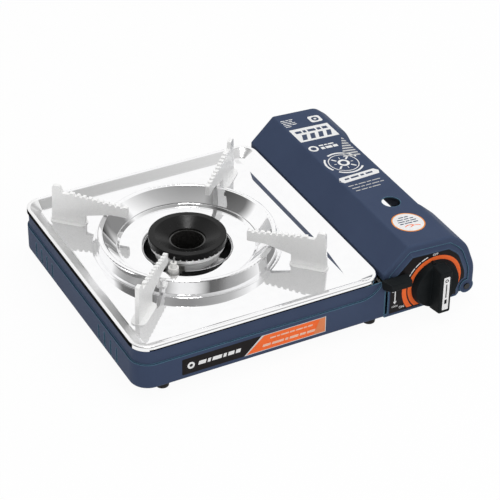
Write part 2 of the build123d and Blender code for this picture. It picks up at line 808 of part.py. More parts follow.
# ================================================================ cartridge cover
with BuildPart() as cartridge_cover:
    add(cover_block(0))
    add(cover_block(sheet), mode=Mode.SUBTRACT)
    # Open ends with a narrow flange all round.
    for y in (cover_front - sheet, cover_back - 2 * sheet):
        with BuildSketch(wall_plane(y)):
            add(cover_section(cover_flange))
        extrude(amount=-3 * sheet, mode=Mode.SUBTRACT)
    # Lower edges beside the tray and on the right side.
    with BuildSketch(wall_plane(cover_front - sheet)):
        with Locations((x_right, cover_side_bottom)):
            Rectangle(2 * cover_width, cover_ridge, align=(Align.CENTER, Align.MAX))
        with Locations((cover_left + 2 * cover_flange, cover_lip_bottom)):
            Rectangle(cover_width, cover_ridge, align=(Align.MAX, Align.MAX))
        relief_x = cover_left + cover_flange
        with BuildLine():
            Polyline(
                (relief_x + cover_gap, cover_lip_bottom - cover_gap),
                (relief_x + cover_gap, cover_lip_bottom + flange_relief),
                (relief_x - flange_relief, cover_lip_bottom - cover_gap),
                close=True,
            )
        make_face()
    extrude(amount=-(cover_back - cover_front + 2 * sheet), mode=Mode.SUBTRACT)
    # Hinge discs, one on each flange.
    for y in (cover_front, cover_back - sheet):
        with BuildSketch(wall_plane(y)):
            with Locations(hinge_axis):
                Circle(hinge_inset)
        extrude(amount=-sheet)
    with BuildSketch(wall_plane(cover_front - sheet)):
        with Locations(hinge_axis):
            Circle(hinge_pin_radius + hinge_clearance)
    extrude(amount=-(cover_back - cover_front + 2 * sheet), mode=Mode.SUBTRACT)
    # Sight hole over the cartridge.
    with BuildSketch(Plane.XY.offset(cover_eave)):
        with Locations((x_right - sight_hole_inset, y_front + sight_hole_front)):
            Circle(sight_hole_radius)
    extrude(amount=cover_ridge, mode=Mode.SUBTRACT)
cartridge_cover.part.label = "cartridge_cover"
export_step(cartridge_cover.part, "parts/cartridge_cover.step")

with BuildPart() as hinge_pins:
    front_span = panel_front + sheet - cover_front
    for y, toward in ((cover_front, 1), (cover_back, -1)):
        add(fastener((hinge_x, y, hinge_height), (0, toward, 0), front_span + hinge_tail,
                     hinge_pin_radius, hinge_head_radius, hinge_head_height))
        add(fastener((hinge_x, y + toward * front_span, hinge_height), (0, -toward, 0), hinge_tail,
                     hinge_pin_radius, hinge_head_radius - hinge_pin_radius / 2, hinge_tail))
hinge_pins.part.label = "hinge_pins"
export_step(hinge_pins.part, "parts/hinge_pins.step")

# ================================================================ drip tray
burner_line = Axis((burner_x, burner_y, 0), (0, 0, 1))
radial_plane = Plane(origin=(burner_x, burner_y, 0), x_dir=(1, 0, 0), z_dir=(0, -1, 0))

with BuildPart() as drip_tray:
    # Rolled rim: skirt, crest and the slope down to the floor.
    half = tray_sheet / 2
    crest = rim_top - half
    level = tray_floor - half
    rim_points = [
        (half, rim_top - skirt_drop),
        (half, crest),
        (rim_width, crest),
        (rim_width + rim_slope_run, level),
        (rim_width + rim_slope_run + 2 * tray_sheet, level),
    ]
    straight_x = tray_length - 2 * tray_corner
    straight_y = tray_depth - 2 * tray_corner
    with BuildLine() as rim_path:
        edge = Line((tray_left, y_mid), (tray_left, y_mid + straight_y / 2))
        for run in (straight_x, straight_y, straight_x):
            bend = JernArc(edge @ 1, edge % 1, tray_corner, -90)
            edge = Line(bend @ 1, (bend @ 1) + (bend % 1) * run)
        bend = JernArc(edge @ 1, edge % 1, tray_corner, -90)
        Line(bend @ 1, (tray_left, y_mid))
    with BuildSketch(Plane(origin=(tray_left, y_mid, 0), x_dir=(1, 0, 0), z_dir=(0, -1, 0))):
        add(strip(rim_points, [tray_sheet, tray_sheet, rim_width], tray_sheet))
    sweep(path=rim_path.line)
    # Floor round the bowl.
    inset = rim_width + rim_slope_run + tray_sheet
    with BuildSketch(Plane.XY.offset(tray_floor - tray_sheet)):
        with Locations((tray_mid, y_mid)):
            RectangleRounded(tray_length - 2 * inset, tray_depth - 2 * inset, tray_corner - inset)
        with Locations((burner_x, burner_y)):
            Circle(trough_outer_radius + tray_sheet, mode=Mode.SUBTRACT)
    extrude(amount=tray_sheet)
    # Bowl: trough, ridge, inner bead and the flat ring round the burner.
    bowl_points = [
        (trough_outer_radius + 2 * tray_sheet, level),
        (trough_outer_radius, level),
        (trough_outer_radius - trough_depth, level - trough_depth),
        (ridge_foot_radius, level - trough_depth),
        (ridge_radius + ridge_crest_inset, level + ridge_height),
        (ridge_inner_radius, level + ridge_height),
        (ridge_wall_foot, level + bead_rise),
        (bead_radius, level + bead_rise),
        (annulus_radius, level - annulus_drop),
        (tray_hole_radius, level - annulus_drop),
    ]
    bowl_radii = [tray_sheet, half, tray_sheet, half * 2, half * 2, ridge_wall_round, tray_sheet, tray_sheet]
    with BuildSketch(radial_plane):
        add(strip(bowl_points, bowl_radii, tray_sheet))
    revolve(axis=burner_line)
    with BuildSketch(Plane.XY.offset(tray_floor - trough_depth - tray_sheet)):
        with Locations((igniter_x, igniter_y)):
            Circle(igniter_notch_radius)
    extrude(amount=2 * trough_depth, mode=Mode.SUBTRACT)
drip_tray.part.label = "drip_tray"
export_step(drip_tray.part, "parts/drip_tray.step")

# ================================================================ pan supports
support_angles = {"pan_support_rr": 45, "pan_support_rl": 135, "pan_support_fl": 225, "pan_support_fr": 315}
support_profile = [
    (support_heel_radius, 0),
    (support_reach, 0),
    (support_reach - support_nose_inset, support_nose_height),
    (support_reach - support_nose_inset - support_nose_width, support_nose_height),
    (support_dip_start, support_dip_height),
    (support_rest_start, support_dip_height),
    (support_rest_start, support_rest_height),
    (support_tip_radius, support_tip_height),
    (support_tip_radius, support_tip_height - support_tip_depth),
    (support_knee_radius, support_tip_height - support_tip_depth),
    (support_heel_radius, support_heel_height),
]
support_rounding = [0, 0, support_nose_fillet, support_nose_fillet, support_fillet, 0]
support_rounding += [0, support_fillet, support_fillet, support_fillet, support_fillet]
tooth_step = (support_rest_start - support_tip_radius) / (tooth_count + 1)
tooth_fall = (support_rest_height - support_tip_height) / (tooth_count + 1)
tooth_places = [
    (support_tip_radius + place * tooth_step, support_tip_height + place * tooth_fall - tooth_bite)
    for place in range(1, tooth_count + 1)
]
for name, angle in support_angles.items():
    outward = (cos(radians(angle)), sin(radians(angle)), 0)
    sideways = (sin(radians(angle)), -cos(radians(angle)), 0)
    with BuildPart() as pan_support:
        with BuildSketch(Plane(origin=(burner_x, burner_y, tray_floor), x_dir=outward, z_dir=sideways)):
            with BuildLine():
                FilletPolyline(*support_profile, radius=support_rounding, close=True)
            make_face()
            with Locations(*tooth_places):
                Circle(tooth_radius, mode=Mode.SUBTRACT)
        extrude(amount=support_thickness / 2, both=True)
        with BuildSketch(Plane(origin=(burner_x, burner_y, tray_floor), x_dir=outward, z_dir=(0, 0, 1))):
            with Locations(((support_heel_radius + support_reach) / 2, 0)):
                plate_length = support_reach - support_heel_radius + foot_plate_margin
                RectangleRounded(plate_length, foot_plate_width, foot_plate_corner)
        extrude(amount=foot_plate_sheet)
    pan_support.part.label = name
    export_step(pan_support.part, f"parts/{name}.step")

# ================================================================ burner
cap_bottom = cap_top - cap_height
cap_mouth_top = cap_top - cap_mouth_drop
cone_fall = cap_mouth_drop / (cap_flat_radius - cap_mouth_radius)
sleeve_radius = cap_mouth_radius + cap_sleeve_wall
throat_outer_radius = cap_mouth_radius - sleeve_clearance
socket_way = (cos(radians(tube_angle)), sin(radians(tube_angle)), 0)

with BuildPart() as burner_cap:
    with BuildSketch(radial_plane):
        with BuildLine():
            Polyline(
                (cap_radius, cap_bottom),
                (cap_radius, cap_top),
                (cap_flat_radius, cap_top),
                (cap_mouth_radius, cap_mouth_top),
                (cap_mouth_radius, cap_mouth_top - cap_sleeve),
                (sleeve_radius, cap_mouth_top - cap_sleeve),
                (sleeve_radius, cap_mouth_top - cap_wall + cone_fall * cap_sleeve_wall),
                (cap_flat_radius, cap_top - cap_wall),
                (cap_radius - cap_wall, cap_top - cap_wall),
                (cap_radius - cap_wall, cap_bottom),
                close=True,
            )
        make_face()
    revolve(axis=burner_line)
    rim = burner_cap.edges().filter_by(lambda e: e.geom_type == GeomType.CIRCLE and e.radius > cap_radius - cap_edge)
    fillet(rim.sort_by(Axis.Z)[-1], cap_edge)
    with Locations((burner_x, burner_y, cap_bottom)):
        with PolarLocations(cap_radius - cap_wall / 2, port_count):
            Box(2 * cap_wall, port_width, 2 * port_depth, mode=Mode.SUBTRACT)
burner_cap.part.label = "burner_cap"
export_step(burner_cap.part, "parts/burner_cap.step")

with BuildPart() as burner_head:
    lower_flare = head_waist_radius - head_base_radius
    upper_flare = head_top_radius - head_waist_radius
    wall_outside = [
        (head_base_radius, head_waist_bottom - lower_flare),
        (head_waist_radius, head_waist_bottom),
        (head_waist_radius, head_waist_top),
        (head_top_radius, head_waist_top + upper_flare),
        (head_top_radius, cap_bottom),
    ]
    wall_inside = [(r - head_wall, z + head_wall / 2) for r, z in wall_outside[:-1]]
    with BuildSketch(radial_plane):
        with BuildLine():
            Polyline(
                (head_throat_radius, head_base_height),
                (head_base_radius, head_base_height),
                *wall_outside,
                (head_top_radius - head_wall, cap_bottom),
                *wall_inside[::-1],
                (head_base_radius - head_wall, head_base_height + head_floor),
                (throat_outer_radius, head_base_height + head_floor),
                (throat_outer_radius, cap_mouth_top - cap_sleeve_wall),
                (head_throat_radius, cap_mouth_top - cap_sleeve_wall),
                close=True,
            )
        make_face()
    revolve(axis=burner_line)
    # Socket for the mixing tube.
    socket_start = Vector(burner_x, burner_y, tube_height) + Vector(*socket_way) * (head_base_radius - head_wall / 2)
    with BuildSketch(Plane(origin=socket_start, z_dir=socket_way)):
        Circle(tube_radius + socket_wall)
    extrude(amount=socket_reach - head_base_radius + head_wall / 2)
    socket_stop = Vector(burner_x, burner_y, tube_height) + Vector(*socket_way) * tube_depth_in_head
    with BuildSketch(Plane(origin=socket_stop, z_dir=socket_way)):
        Circle(tube_radius + tube_fit)
    extrude(amount=socket_reach, mode=Mode.SUBTRACT)
    with BuildSketch(Plane(origin=socket_stop, z_dir=socket_way)):
        Circle(tube_radius - tube_wall)
    extrude(amount=-(tube_depth_in_head - throat_outer_radius - head_wall), mode=Mode.SUBTRACT)
    with BuildSketch(Plane.XY.offset(head_base_height)):
        with Locations(*head_screw_places):
            Circle(screw_hole_radius)
    extrude(amount=head_screw_depth + screw_clearance, mode=Mode.SUBTRACT)
burner_head.part.label = "burner_head"
export_step(burner_head.part, "parts/burner_head.step")

with BuildPart() as burner_bracket:
    foot_end = bracket_leg + bracket_foot
    leg = bracket_leg - bracket_sheet / 2
    low = floor_top + bracket_sheet / 2
    high = head_base_height - bracket_sheet / 2
    bracket_points = [(-foot_end, low), (-leg, low), (-leg, high), (leg, high), (leg, low), (foot_end, low)]
    with BuildSketch(Plane(origin=(burner_x, burner_y - bracket_width / 2, 0), x_dir=(1, 0, 0), z_dir=(0, -1, 0))):
        add(strip(bracket_points, bracket_sheet, bracket_sheet))
    extrude(amount=-bracket_width)
    with BuildSketch(Plane.XY.offset(head_base_height - 2 * bracket_sheet)):
        with Locations((burner_x, burner_y)):
            Circle(bracket_hole_radius)
        with Locations(*head_screw_places):
            Circle(screw_hole_radius)
    extrude(amount=3 * bracket_sheet, mode=Mode.SUBTRACT)
    with BuildSketch(Plane.XY.offset(floor_bottom)):
        with Locations(*bracket_screw_places):
            Circle(screw_hole_radius)
    extrude(amount=3 * bracket_sheet, mode=Mode.SUBTRACT)
burner_bracket.part.label = "burner_bracket"
export_step(burner_bracket.part, "parts/burner_bracket.step")

with BuildPart() as burner_screws:
    for x, y in bracket_screw_places:
        add(fastener((x, y, floor_bottom), (0, 0, 1), 2 * sheet + bracket_sheet))
    for x, y in head_screw_places:
        add(fastener((x, y, head_base_height - bracket_sheet), (0, 0, 1), bracket_sheet + head_screw_depth))
burner_screws.part.label = "burner_screws"
export_step(burner_screws.part, "parts/burner_screws.step")

# ================================================================ gas path
tube_start = (burner_x + tube_depth_in_head * socket_way[0], burner_y + tube_depth_in_head * socket_way[1])
tube_reach = (outlet_line_y - burner_y) / socket_way[1]
tube_corner = (burner_x + tube_reach * socket_way[0], outlet_line_y)
tube_end = (outlet_end_x + spigot_length, outlet_line_y)

with BuildPart() as mixing_tube:
    with BuildLine(Plane.XY.offset(tube_height)) as tube_path:
        FilletPolyline(tube_start, tube_corner, tube_end, radius=tube_bend_radius)
    with BuildSketch(Plane(origin=tube_path.line @ 0, z_dir=tube_path.line % 0)):
        Circle(tube_radius)
        Circle(tube_radius - tube_wall, mode=Mode.SUBTRACT)
    sweep(path=tube_path.line)
    # Air ports beside the jet.
    with BuildSketch(wall_plane(outlet_line_y - 2 * tube_radius)):
        with Locations((outlet_end_x - jet_length, tube_height)):
            Circle(air_port_radius)
    extrude(amount=-4 * tube_radius, mode=Mode.SUBTRACT)
mixing_tube.part.label = "mixing_tube"
export_step(mixing_tube.part, "parts/mixing_tube.step")

with BuildPart() as regulator_cover:
    with BuildSketch(wall_plane(y_front + regulator_front)):
        with Locations((knob_x, regulator_height)):
            Circle(regulator_radius)
        with Locations(knob_axis):
            SlotCenterToCenter(2 * lug_spread, 2 * lug_radius)
    extrude(amount=-regulator_cover_depth)
    with BuildSketch(wall_plane(y_front + sheet)):
        with Locations(*lug_places):
            Circle(lug_radius)
    extrude(amount=-(regulator_front - sheet))
    with BuildSketch(wall_plane(y_front)):
        with Locations(*lug_places):
            Circle(screw_hole_radius)
        with Locations(knob_axis):
            Circle(stem_radius + stem_clearance)
    extrude(amount=-(regulator_y - y_front), mode=Mode.SUBTRACT)
regulator_cover.part.label = "regulator_cover"
export_step(regulator_cover.part, "parts/regulator_cover.step")

with BuildPart() as regulator_body:
    with BuildSketch(wall_plane(regulator_y)):
        with Locations((knob_x, regulator_height)):
            Circle(regulator_radius)
    extrude(amount=-regulator_depth)
    fillet(regulator_body.edges().sort_by(Axis.Y)[-1], body_round)
    with BuildSketch(wall_plane(regulator_y)):
        with Locations(knob_axis):
            SlotCenterToCenter(2 * lug_spread, 2 * lug_radius)
    extrude(amount=-lug_thickness)
    with BuildSketch(wall_plane(seat_base_y - body_round)):
        with Locations(cartridge_axis):
            Circle(seat_radius)
    extrude(amount=-(seat_depth + body_round))
    # Outlet arm and its spigot.
    with BuildSketch(side_plane(outlet_end_x + spigot_length)):
        with Locations((outlet_line_y, tube_height)):
            Circle(outlet_radius)
    extrude(amount=outlet_length - spigot_length)
    with BuildSketch(side_plane(outlet_end_x)):
        with Locations((outlet_line_y, tube_height)):
            Circle(tube_radius - tube_wall - tube_fit)
    extrude(amount=spigot_length)
    with BuildSketch(side_plane(outlet_end_x)):
        with Locations((outlet_line_y, tube_height)):
            Circle(jet_radius + tube_fit)
    extrude(amount=jet_length / 2, mode=Mode.SUBTRACT)
    # Seat for the cartridge's collar, bore for the valve stem and holes for the screws.
    with BuildSketch(wall_plane(seat_y)):
        with Locations(cartridge_axis):
            Circle(seat_bore_radius)
    extrude(amount=seat_bore_depth, mode=Mode.SUBTRACT)
    with BuildSketch(wall_plane(seat_y - seat_bore_depth)):
        with Locations(cartridge_axis):
            Circle(seal_radius)
    extrude(amount=seal_thickness, mode=Mode.SUBTRACT)
    with BuildSketch(wall_plane(regulator_y)):
        with Locations(knob_axis):
            Circle(stem_radius + stem_clearance)
    extrude(amount=-(stem_in_regulator + screw_clearance), mode=Mode.SUBTRACT)
    with BuildSketch(wall_plane(regulator_y)):
        with Locations(*lug_places):
            Circle(screw_hole_radius)
    extrude(amount=-lug_thickness, mode=Mode.SUBTRACT)
regulator_body.part.label = "regulator_body"
export_step(regulator_body.part, "parts/regulator_body.step")

with BuildPart() as regulator_screws:
    for x, z in lug_places:
        screw_length = regulator_y + lug_thickness - y_front - screw_clearance
        add(fastener((x, regulator_y + lug_thickness, z), (0, -1, 0), screw_length))
regulator_screws.part.label = "regulator_screws"
export_step(regulator_screws.part, "parts/regulator_screws.step")

with BuildPart() as cartridge_seal:
    with BuildSketch(wall_plane(seat_y - seat_bore_depth)):
        with Locations(cartridge_axis):
            Circle(seal_radius - screw_clearance)
            Circle(seal_bore_radius, mode=Mode.SUBTRACT)
    extrude(amount=seal_thickness)
cartridge_seal.part.label = "cartridge_seal"
export_step(cartridge_seal.part, "parts/cartridge_seal.step")

with BuildPart() as gas_jet:
    with BuildSketch(side_plane(outlet_end_x - jet_length / 2)):
        with Locations((outlet_line_y, tube_height)):
            RegularPolygon(jet_radius + jet_bore_radius, 6)
            Circle(jet_bore_radius, mode=Mode.SUBTRACT)
    extrude(amount=jet_length / 2)
    with BuildSketch(side_plane(outlet_end_x)):
        with Locations((outlet_line_y, tube_height)):
            Circle(jet_radius)
            Circle(jet_bore_radius, mode=Mode.SUBTRACT)
    extrude(amount=jet_length / 2)
gas_jet.part.label = "gas_jet"
export_step(gas_jet.part, "parts/gas_jet.step")

# ================================================================ ignition
with BuildPart() as igniter_ceramic:
    with BuildSketch(Plane.XY.offset(ceramic_bottom)):
        with Locations((igniter_x, igniter_y)):
            Circle(ceramic_radius)
    extrude(amount=ceramic_top - ceramic_bottom)
    with BuildSketch(Plane.XY.offset(ceramic_collar_bottom)):
        with Locations((igniter_x, igniter_y)):
            Circle(ceramic_collar_radius)
    extrude(amount=ceramic_collar_top - ceramic_collar_bottom)
    with BuildSketch(Plane.XY.offset(ceramic_top)):
        with Locations((igniter_x, igniter_y)):
            Circle(electrode_radius + screw_clearance)
    extrude(amount=-(electrode_socket + screw_clearance), mode=Mode.SUBTRACT)
    with BuildSketch(Plane.XY.offset(ceramic_bottom)):
        with Locations((igniter_x, igniter_y)):
            Circle(lead_radius + screw_clearance)
    extrude(amount=lead_socket + screw_clearance, mode=Mode.SUBTRACT)
igniter_ceramic.part.label = "igniter_ceramic"
export_step(igniter_ceramic.part, "parts/igniter_ceramic.step")

igniter_way = (cos(radians(igniter_angle)), sin(radians(igniter_angle)), 0)
with BuildPart() as igniter_electrode:
    with BuildLine() as electrode_path:
        FilletPolyline(
            (igniter_x, igniter_y, ceramic_top - electrode_socket),
            (igniter_x, igniter_y, ceramic_top + electrode_rise / 2),
            (
                igniter_x - electrode_offset * igniter_way[0],
                igniter_y - electrode_offset * igniter_way[1],
                ceramic_top + electrode_rise,
            ),
            radius=2 * electrode_radius,
        )
    with BuildSketch(Plane(origin=electrode_path.line @ 0, z_dir=(0, 0, 1))):
        Circle(electrode_radius)
    sweep(path=electrode_path.line)
igniter_electrode.part.label = "igniter_electrode"
export_step(igniter_electrode.part, "parts/igniter_electrode.step")

with BuildPart() as igniter_clip:
    # Tab that hugs the burner's waist, and an arm with a hole for the ceramic.
    tab_inner = head_waist_radius + screw_clearance
    with BuildSketch(Plane.XY.offset(clip_height)):
        with Locations((burner_x, burner_y)):
            Circle(tab_inner + clip_sheet)
            Circle(tab_inner, mode=Mode.SUBTRACT)
            with Locations(Location((0, 0, 0), igniter_angle)):
                Rectangle(2 * head_waist_radius, clip_width, align=(Align.MIN, Align.CENTER), mode=Mode.INTERSECT)
    extrude(amount=clip_tab_top - clip_height)
    with BuildSketch(Plane.XY.offset(clip_height)):
        with Locations(Location((burner_x, burner_y, 0), igniter_angle)):
            with Locations((igniter_radius + clip_width / 2, 0)):
                RectangleRounded(clip_reach, clip_width, clip_corner, align=(Align.MAX, Align.CENTER))
        with Locations((burner_x, burner_y)):
            Circle(tab_inner, mode=Mode.SUBTRACT)
        with Locations((igniter_x, igniter_y)):
            Circle(ceramic_radius + screw_clearance, mode=Mode.SUBTRACT)
    extrude(amount=clip_sheet)
igniter_clip.part.label = "igniter_clip"
export_step(igniter_clip.part, "parts/igniter_clip.step")

with BuildPart() as piezo_unit:
    with BuildSketch(Plane.XY.offset(floor_top)):
        with Locations((piezo_right, piezo_y)):
            Rectangle(piezo_length, piezo_depth, align=(Align.MAX, Align.CENTER))
    extrude(amount=piezo_height)
    fillet(piezo_unit.edges().filter_by(Axis.Z), piezo_round)
    fillet(piezo_unit.faces().sort_by(Axis.Z)[-1].edges(), piezo_round / 2)
    with BuildSketch(side_plane(piezo_right - piezo_length)):
        with Locations((piezo_y, lead_height)):
            Circle(lead_radius + screw_clearance)
    extrude(amount=lead_socket + screw_clearance, mode=Mode.SUBTRACT)
piezo_unit.part.label = "piezo_unit"
export_step(piezo_unit.part, "parts/piezo_unit.step")

with BuildPart() as ignition_lead:
    lead_start_x = piezo_right - piezo_length + lead_socket
    with BuildLine() as lead_path:
        FilletPolyline(
            (lead_start_x, piezo_y, lead_height),
            (lead_start_x - lead_run, piezo_y, lead_height),
            (igniter_x, igniter_y, lead_height),
            (igniter_x, igniter_y, ceramic_bottom + lead_socket),
            radius=[lead_bend_radius, lead_rise_radius],
        )
    with BuildSketch(Plane(origin=lead_path.line @ 0, z_dir=lead_path.line % 0)):
        Circle(lead_radius)
    sweep(path=lead_path.line)
ignition_lead.part.label = "ignition_lead"
export_step(ignition_lead.part, "parts/ignition_lead.step")

# ================================================================ control knob
with BuildPart() as control_knob:
    with BuildSketch(wall_plane(y_front - knob_gap)):
        with Locations(knob_axis):
            Circle(knob_radius)
    extrude(amount=knob_disc_depth, taper=degrees(atan2(knob_disc_inset, knob_disc_depth)))
    fillet(control_knob.edges().group_by(Axis.Y)[0], knob_edge)
    grip_base_y = y_front - knob_gap - knob_disc_depth
    with BuildSketch(wall_plane(grip_base_y + knob_edge)):
        with Locations(knob_axis):
            RectangleRounded(grip_base_width, grip_base_length, grip_corner)
    with BuildSketch(wall_plane(y_front - knob_reach)):
        with Locations(knob_axis):
            RectangleRounded(grip_width, grip_length, grip_corner)
    loft()
    fillet(control_knob.faces().sort_by(Axis.Y)[0].edges(), grip_edge)
    with BuildSketch(wall_plane(y_front - knob_gap)):
        with Locations(knob_axis):
            with PolarLocations(knob_radius - pointer_radius / 2, 1, pointer_angle):
                Circle(pointer_radius)
    extrude(amount=pointer_depth)
    with BuildSketch(wall_plane(y_front - knob_gap)):
        add(stem_section(stem_clearance))
    extrude(amount=stem_in_knob + stem_clearance, mode=Mode.SUBTRACT)
control_knob.part.label = "control_knob"
export_step(control_knob.part, "parts/control_knob.step")

with BuildPart() as valve_stem:
    with BuildSketch(wall_plane(y_front - knob_gap)):
        with Locations(knob_axis):
            Circle(stem_radius)
    extrude(amount=-(regulator_y + stem_in_regulator - y_front + knob_gap))
    with BuildSketch(wall_plane(y_front - knob_gap)):
        add(stem_section(0))
    extrude(amount=stem_in_knob)
valve_stem.part.label = "valve_stem"
export_step(valve_stem.part, "parts/valve_stem.step")

# ================================================================ cartridge lever
with BuildPart() as lever_arm:
    with BuildSketch(side_plane(lever_x - lever_sheet / 2)):
        add(lever_outline(0))
        with Locations((lever_pivot_y, lever_pivot_height)):
            Circle(lever_pin_radius + pivot_clearance, mode=Mode.SUBTRACT)
    extrude(amount=lever_sheet)
    with BuildSketch(side_plane(lever_x)):
        with Locations((link_y, link_z)):
            Circle(link_pin_radius)
    extrude(amount=lever_sheet / 2 + pusher_gap + 2 * pusher_sheet)
lever_arm.part.label = "lever_arm"
export_step(lever_arm.part, "parts/lever_arm.step")

with BuildPart() as lever_handle:
    handle_corners = [
        (y_front - handle_front, handle_face_bottom),
        (y_front - handle_front, handle_face_top),
        (y_front - handle_back - handle_crown, handle_top),
        (y_front - handle_back, handle_top),
        (y_front - handle_back, handle_back_bottom),
    ]
    handle_rounding = [handle_edge, handle_edge, handle_edge, handle_edge, handle_edge]
    with BuildSketch(side_plane(lever_x - handle_left)):
        with BuildLine():
            FilletPolyline(*handle_corners, radius=handle_rounding, close=True)
        make_face()
    extrude(amount=handle_left + handle_right)
    fillet(lever_handle.faces().sort_by(Axis.X)[-1].edges(), handle_edge / 2)
    # Left end, cut off at a slant beside the slot.
    cut_way = (
        -cos(radians(handle_cut_turn)) * cos(radians(handle_cut_tip)),
        -sin(radians(handle_cut_turn)) * cos(radians(handle_cut_tip)),
        -sin(radians(handle_cut_tip)),
    )
    split(bisect_by=Plane(origin=(lever_x - handle_cut, handle_y, handle_z), z_dir=cut_way), keep=Keep.BOTTOM)
    with BuildSketch(side_plane(lever_x - lever_sheet / 2 - screw_clearance)):
        add(lever_outline(screw_clearance))
    extrude(amount=lever_sheet + 2 * screw_clearance, mode=Mode.SUBTRACT)
lever_handle.part.label = "lever_handle"
export_step(lever_handle.part, "parts/lever_handle.step")

with BuildPart() as lever_pivot_pin:
    head_x = lever_x + lever_sheet / 2 + pivot_end_play
    shoulder_end = lever_x - lever_sheet / 2 - pivot_end_play
    with BuildSketch(side_plane(partition_x - sheet / 2 - sheet)):
        with Locations((lever_pivot_y, lever_pivot_height)):
            Circle(lever_pin_radius)
    extrude(amount=head_x - partition_x + sheet / 2 + sheet)
    with BuildSketch(side_plane(partition_x + sheet / 2)):
        with Locations((lever_pivot_y, lever_pivot_height)):
            Circle(lever_pin_head_radius)
    extrude(amount=shoulder_end - partition_x - sheet / 2)
    with BuildSketch(side_plane(head_x)):
        with Locations((lever_pivot_y, lever_pivot_height)):
            Circle(lever_pin_head_radius)
    extrude(amount=stud_head_height)
lever_pivot_pin.part.label = "lever_pivot_pin"
export_step(lever_pivot_pin.part, "parts/lever_pivot_pin.step")

# ================================================================ cartridge pusher
with BuildPart() as cartridge_pusher:
    half = pusher_sheet / 2
    corner = (strip_x + half, pusher_plate_y + half)
    rail = [(strip_x + half, y_front + pusher_front), corner, (knob_x, pusher_plate_y + half)]
    with BuildSketch(Plane.XY.offset(pusher_bottom)):
        add(strip(rail, pusher_bend, pusher_sheet))
    extrude(amount=pusher_strip_height)
    with BuildSketch(wall_plane(pusher_plate_y)):
        with Locations((knob_x, (pusher_plate_bottom + pusher_plate_top) / 2)):
            RectangleRounded(pusher_plate_width, pusher_plate_top - pusher_plate_bottom, pusher_plate_corner)
    extrude(amount=-pusher_sheet)
    with BuildSketch(side_plane(strip_x - pusher_sheet)):
        # Upright slot for the lever's link pin.
        link_top = lever_pivot_height + lever_link_radius
        slot_reach = link_top - link_z + 2 * (link_pin_radius + link_clearance)
        with Locations((link_y, (link_z + link_top) / 2)):
            SlotOverall(slot_reach, 2 * (link_pin_radius + link_clearance), rotation=90)
        # Long slots for the guide studs.
        guide_width = 2 * (stud_radius + stud_clearance)
        with Locations(*[(y + pusher_travel / 2, z) for y, z in stud_places]):
            SlotOverall(pusher_travel + guide_width, guide_width)
    extrude(amount=3 * pusher_sheet, mode=Mode.SUBTRACT)
cartridge_pusher.part.label = "cartridge_pusher"
export_step(cartridge_pusher.part, "parts/cartridge_pusher.step")

with BuildPart() as pusher_studs:
    head_start = strip_x + pusher_sheet + stud_clearance
    for radius, start, end in (
        (stud_radius, partition_x - sheet / 2 - sheet, head_start),
        (stud_head_radius, partition_x + sheet / 2, strip_x - stud_clearance),
        (stud_head_radius, head_start, head_start + stud_head_height),
    ):
        with BuildSketch(side_plane(start)):
            with Locations(*stud_places):
                Circle(radius)
        extrude(amount=end - start)
pusher_studs.part.label = "pusher_studs"
export_step(pusher_studs.part, "parts/pusher_studs.step")
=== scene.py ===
import math

import bmesh
import bpy
from mathutils import Matrix, Vector
from mathutils.bvhtree import BVHTree


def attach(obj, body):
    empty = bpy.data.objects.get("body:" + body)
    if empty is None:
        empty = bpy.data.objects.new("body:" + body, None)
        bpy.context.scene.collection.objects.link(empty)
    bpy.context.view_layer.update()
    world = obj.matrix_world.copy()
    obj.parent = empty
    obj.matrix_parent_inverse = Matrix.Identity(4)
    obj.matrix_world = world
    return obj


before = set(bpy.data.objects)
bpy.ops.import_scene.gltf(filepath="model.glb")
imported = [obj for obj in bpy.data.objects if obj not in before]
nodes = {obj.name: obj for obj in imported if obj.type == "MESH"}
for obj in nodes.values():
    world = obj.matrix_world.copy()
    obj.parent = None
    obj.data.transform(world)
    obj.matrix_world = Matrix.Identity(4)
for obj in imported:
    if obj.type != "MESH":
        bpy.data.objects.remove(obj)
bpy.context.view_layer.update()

# Butane cassette stove: paint, plating, printing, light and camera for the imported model.
# Materials, lamps and camera are in metres. Prints and pressed forms are in millimetres.

MM = 0.001

# ---------------------------------------------------------------- camera of the photograph
VIEW_AZIMUTH = math.radians(-27.94)
VIEW_ELEVATION = math.radians(34.374)
VIEW_ROLL = math.radians(0.7167)
VIEW_DISTANCE = 1.8106
VIEW_AIM = Vector((-0.0503, 0.0100, 0.0531))
VIEW_PAN = (0.04915, -0.01058)  # to the right and up, so that the frame sits as it does there
LENS = 139.09  # millimetres, on Blender's 36 mm sensor
VIEW_END = 20  # nothing farther away is drawn

# ---------------------------------------------------------------- colours, linear
PAINT = (0.053, 0.074, 0.132)
PAINT_DEEP = (0.047, 0.066, 0.120)
# painted highlight: the paler teal laid along the paint's pressed edges
PAINT_EDGE_HIGHLIGHT = (0.110, 0.250, 0.340)
# painted shade and reflection: the grey of the sheet's inside under the burner
SHADE_WELL_GREY = (0.16, 0.16, 0.165)
ORANGE = (0.930, 0.165, 0.038)
FILM_BLACK = (0.011, 0.009, 0.009)
FILM_DEEP = (0.016, 0.014, 0.015)
INK_WHITE = (0.86, 0.86, 0.86)
CHROME = (0.975, 0.975, 0.98)
CHROME_DEEP = (0.955, 0.955, 0.96)
# painted shade: black for the gap under the tray's rim
SKIRT_SHADE_BLACK = (0.004, 0.004, 0.004)
# painted reflection: greys in the satin rim's colour, for what its left and back slopes reflect
RIM_LEFT_REFLECTION_TONE = (0.92, 0.92, 0.92)
RIM_BACK_REFLECTION_TONES = ((0.46, 0.46, 0.46), (0.80, 0.80, 0.80))  # at its left and right ends
ZINC = (0.97, 0.97, 0.965)
ZINC_DEEP = (0.92, 0.92, 0.915)
CAST = (0.96, 0.96, 0.96)
CAST_DEEP = (0.90, 0.90, 0.90)
BORE_DARK = (0.030, 0.029, 0.028)
BORE_DARK_DEEP = (0.014, 0.014, 0.013)

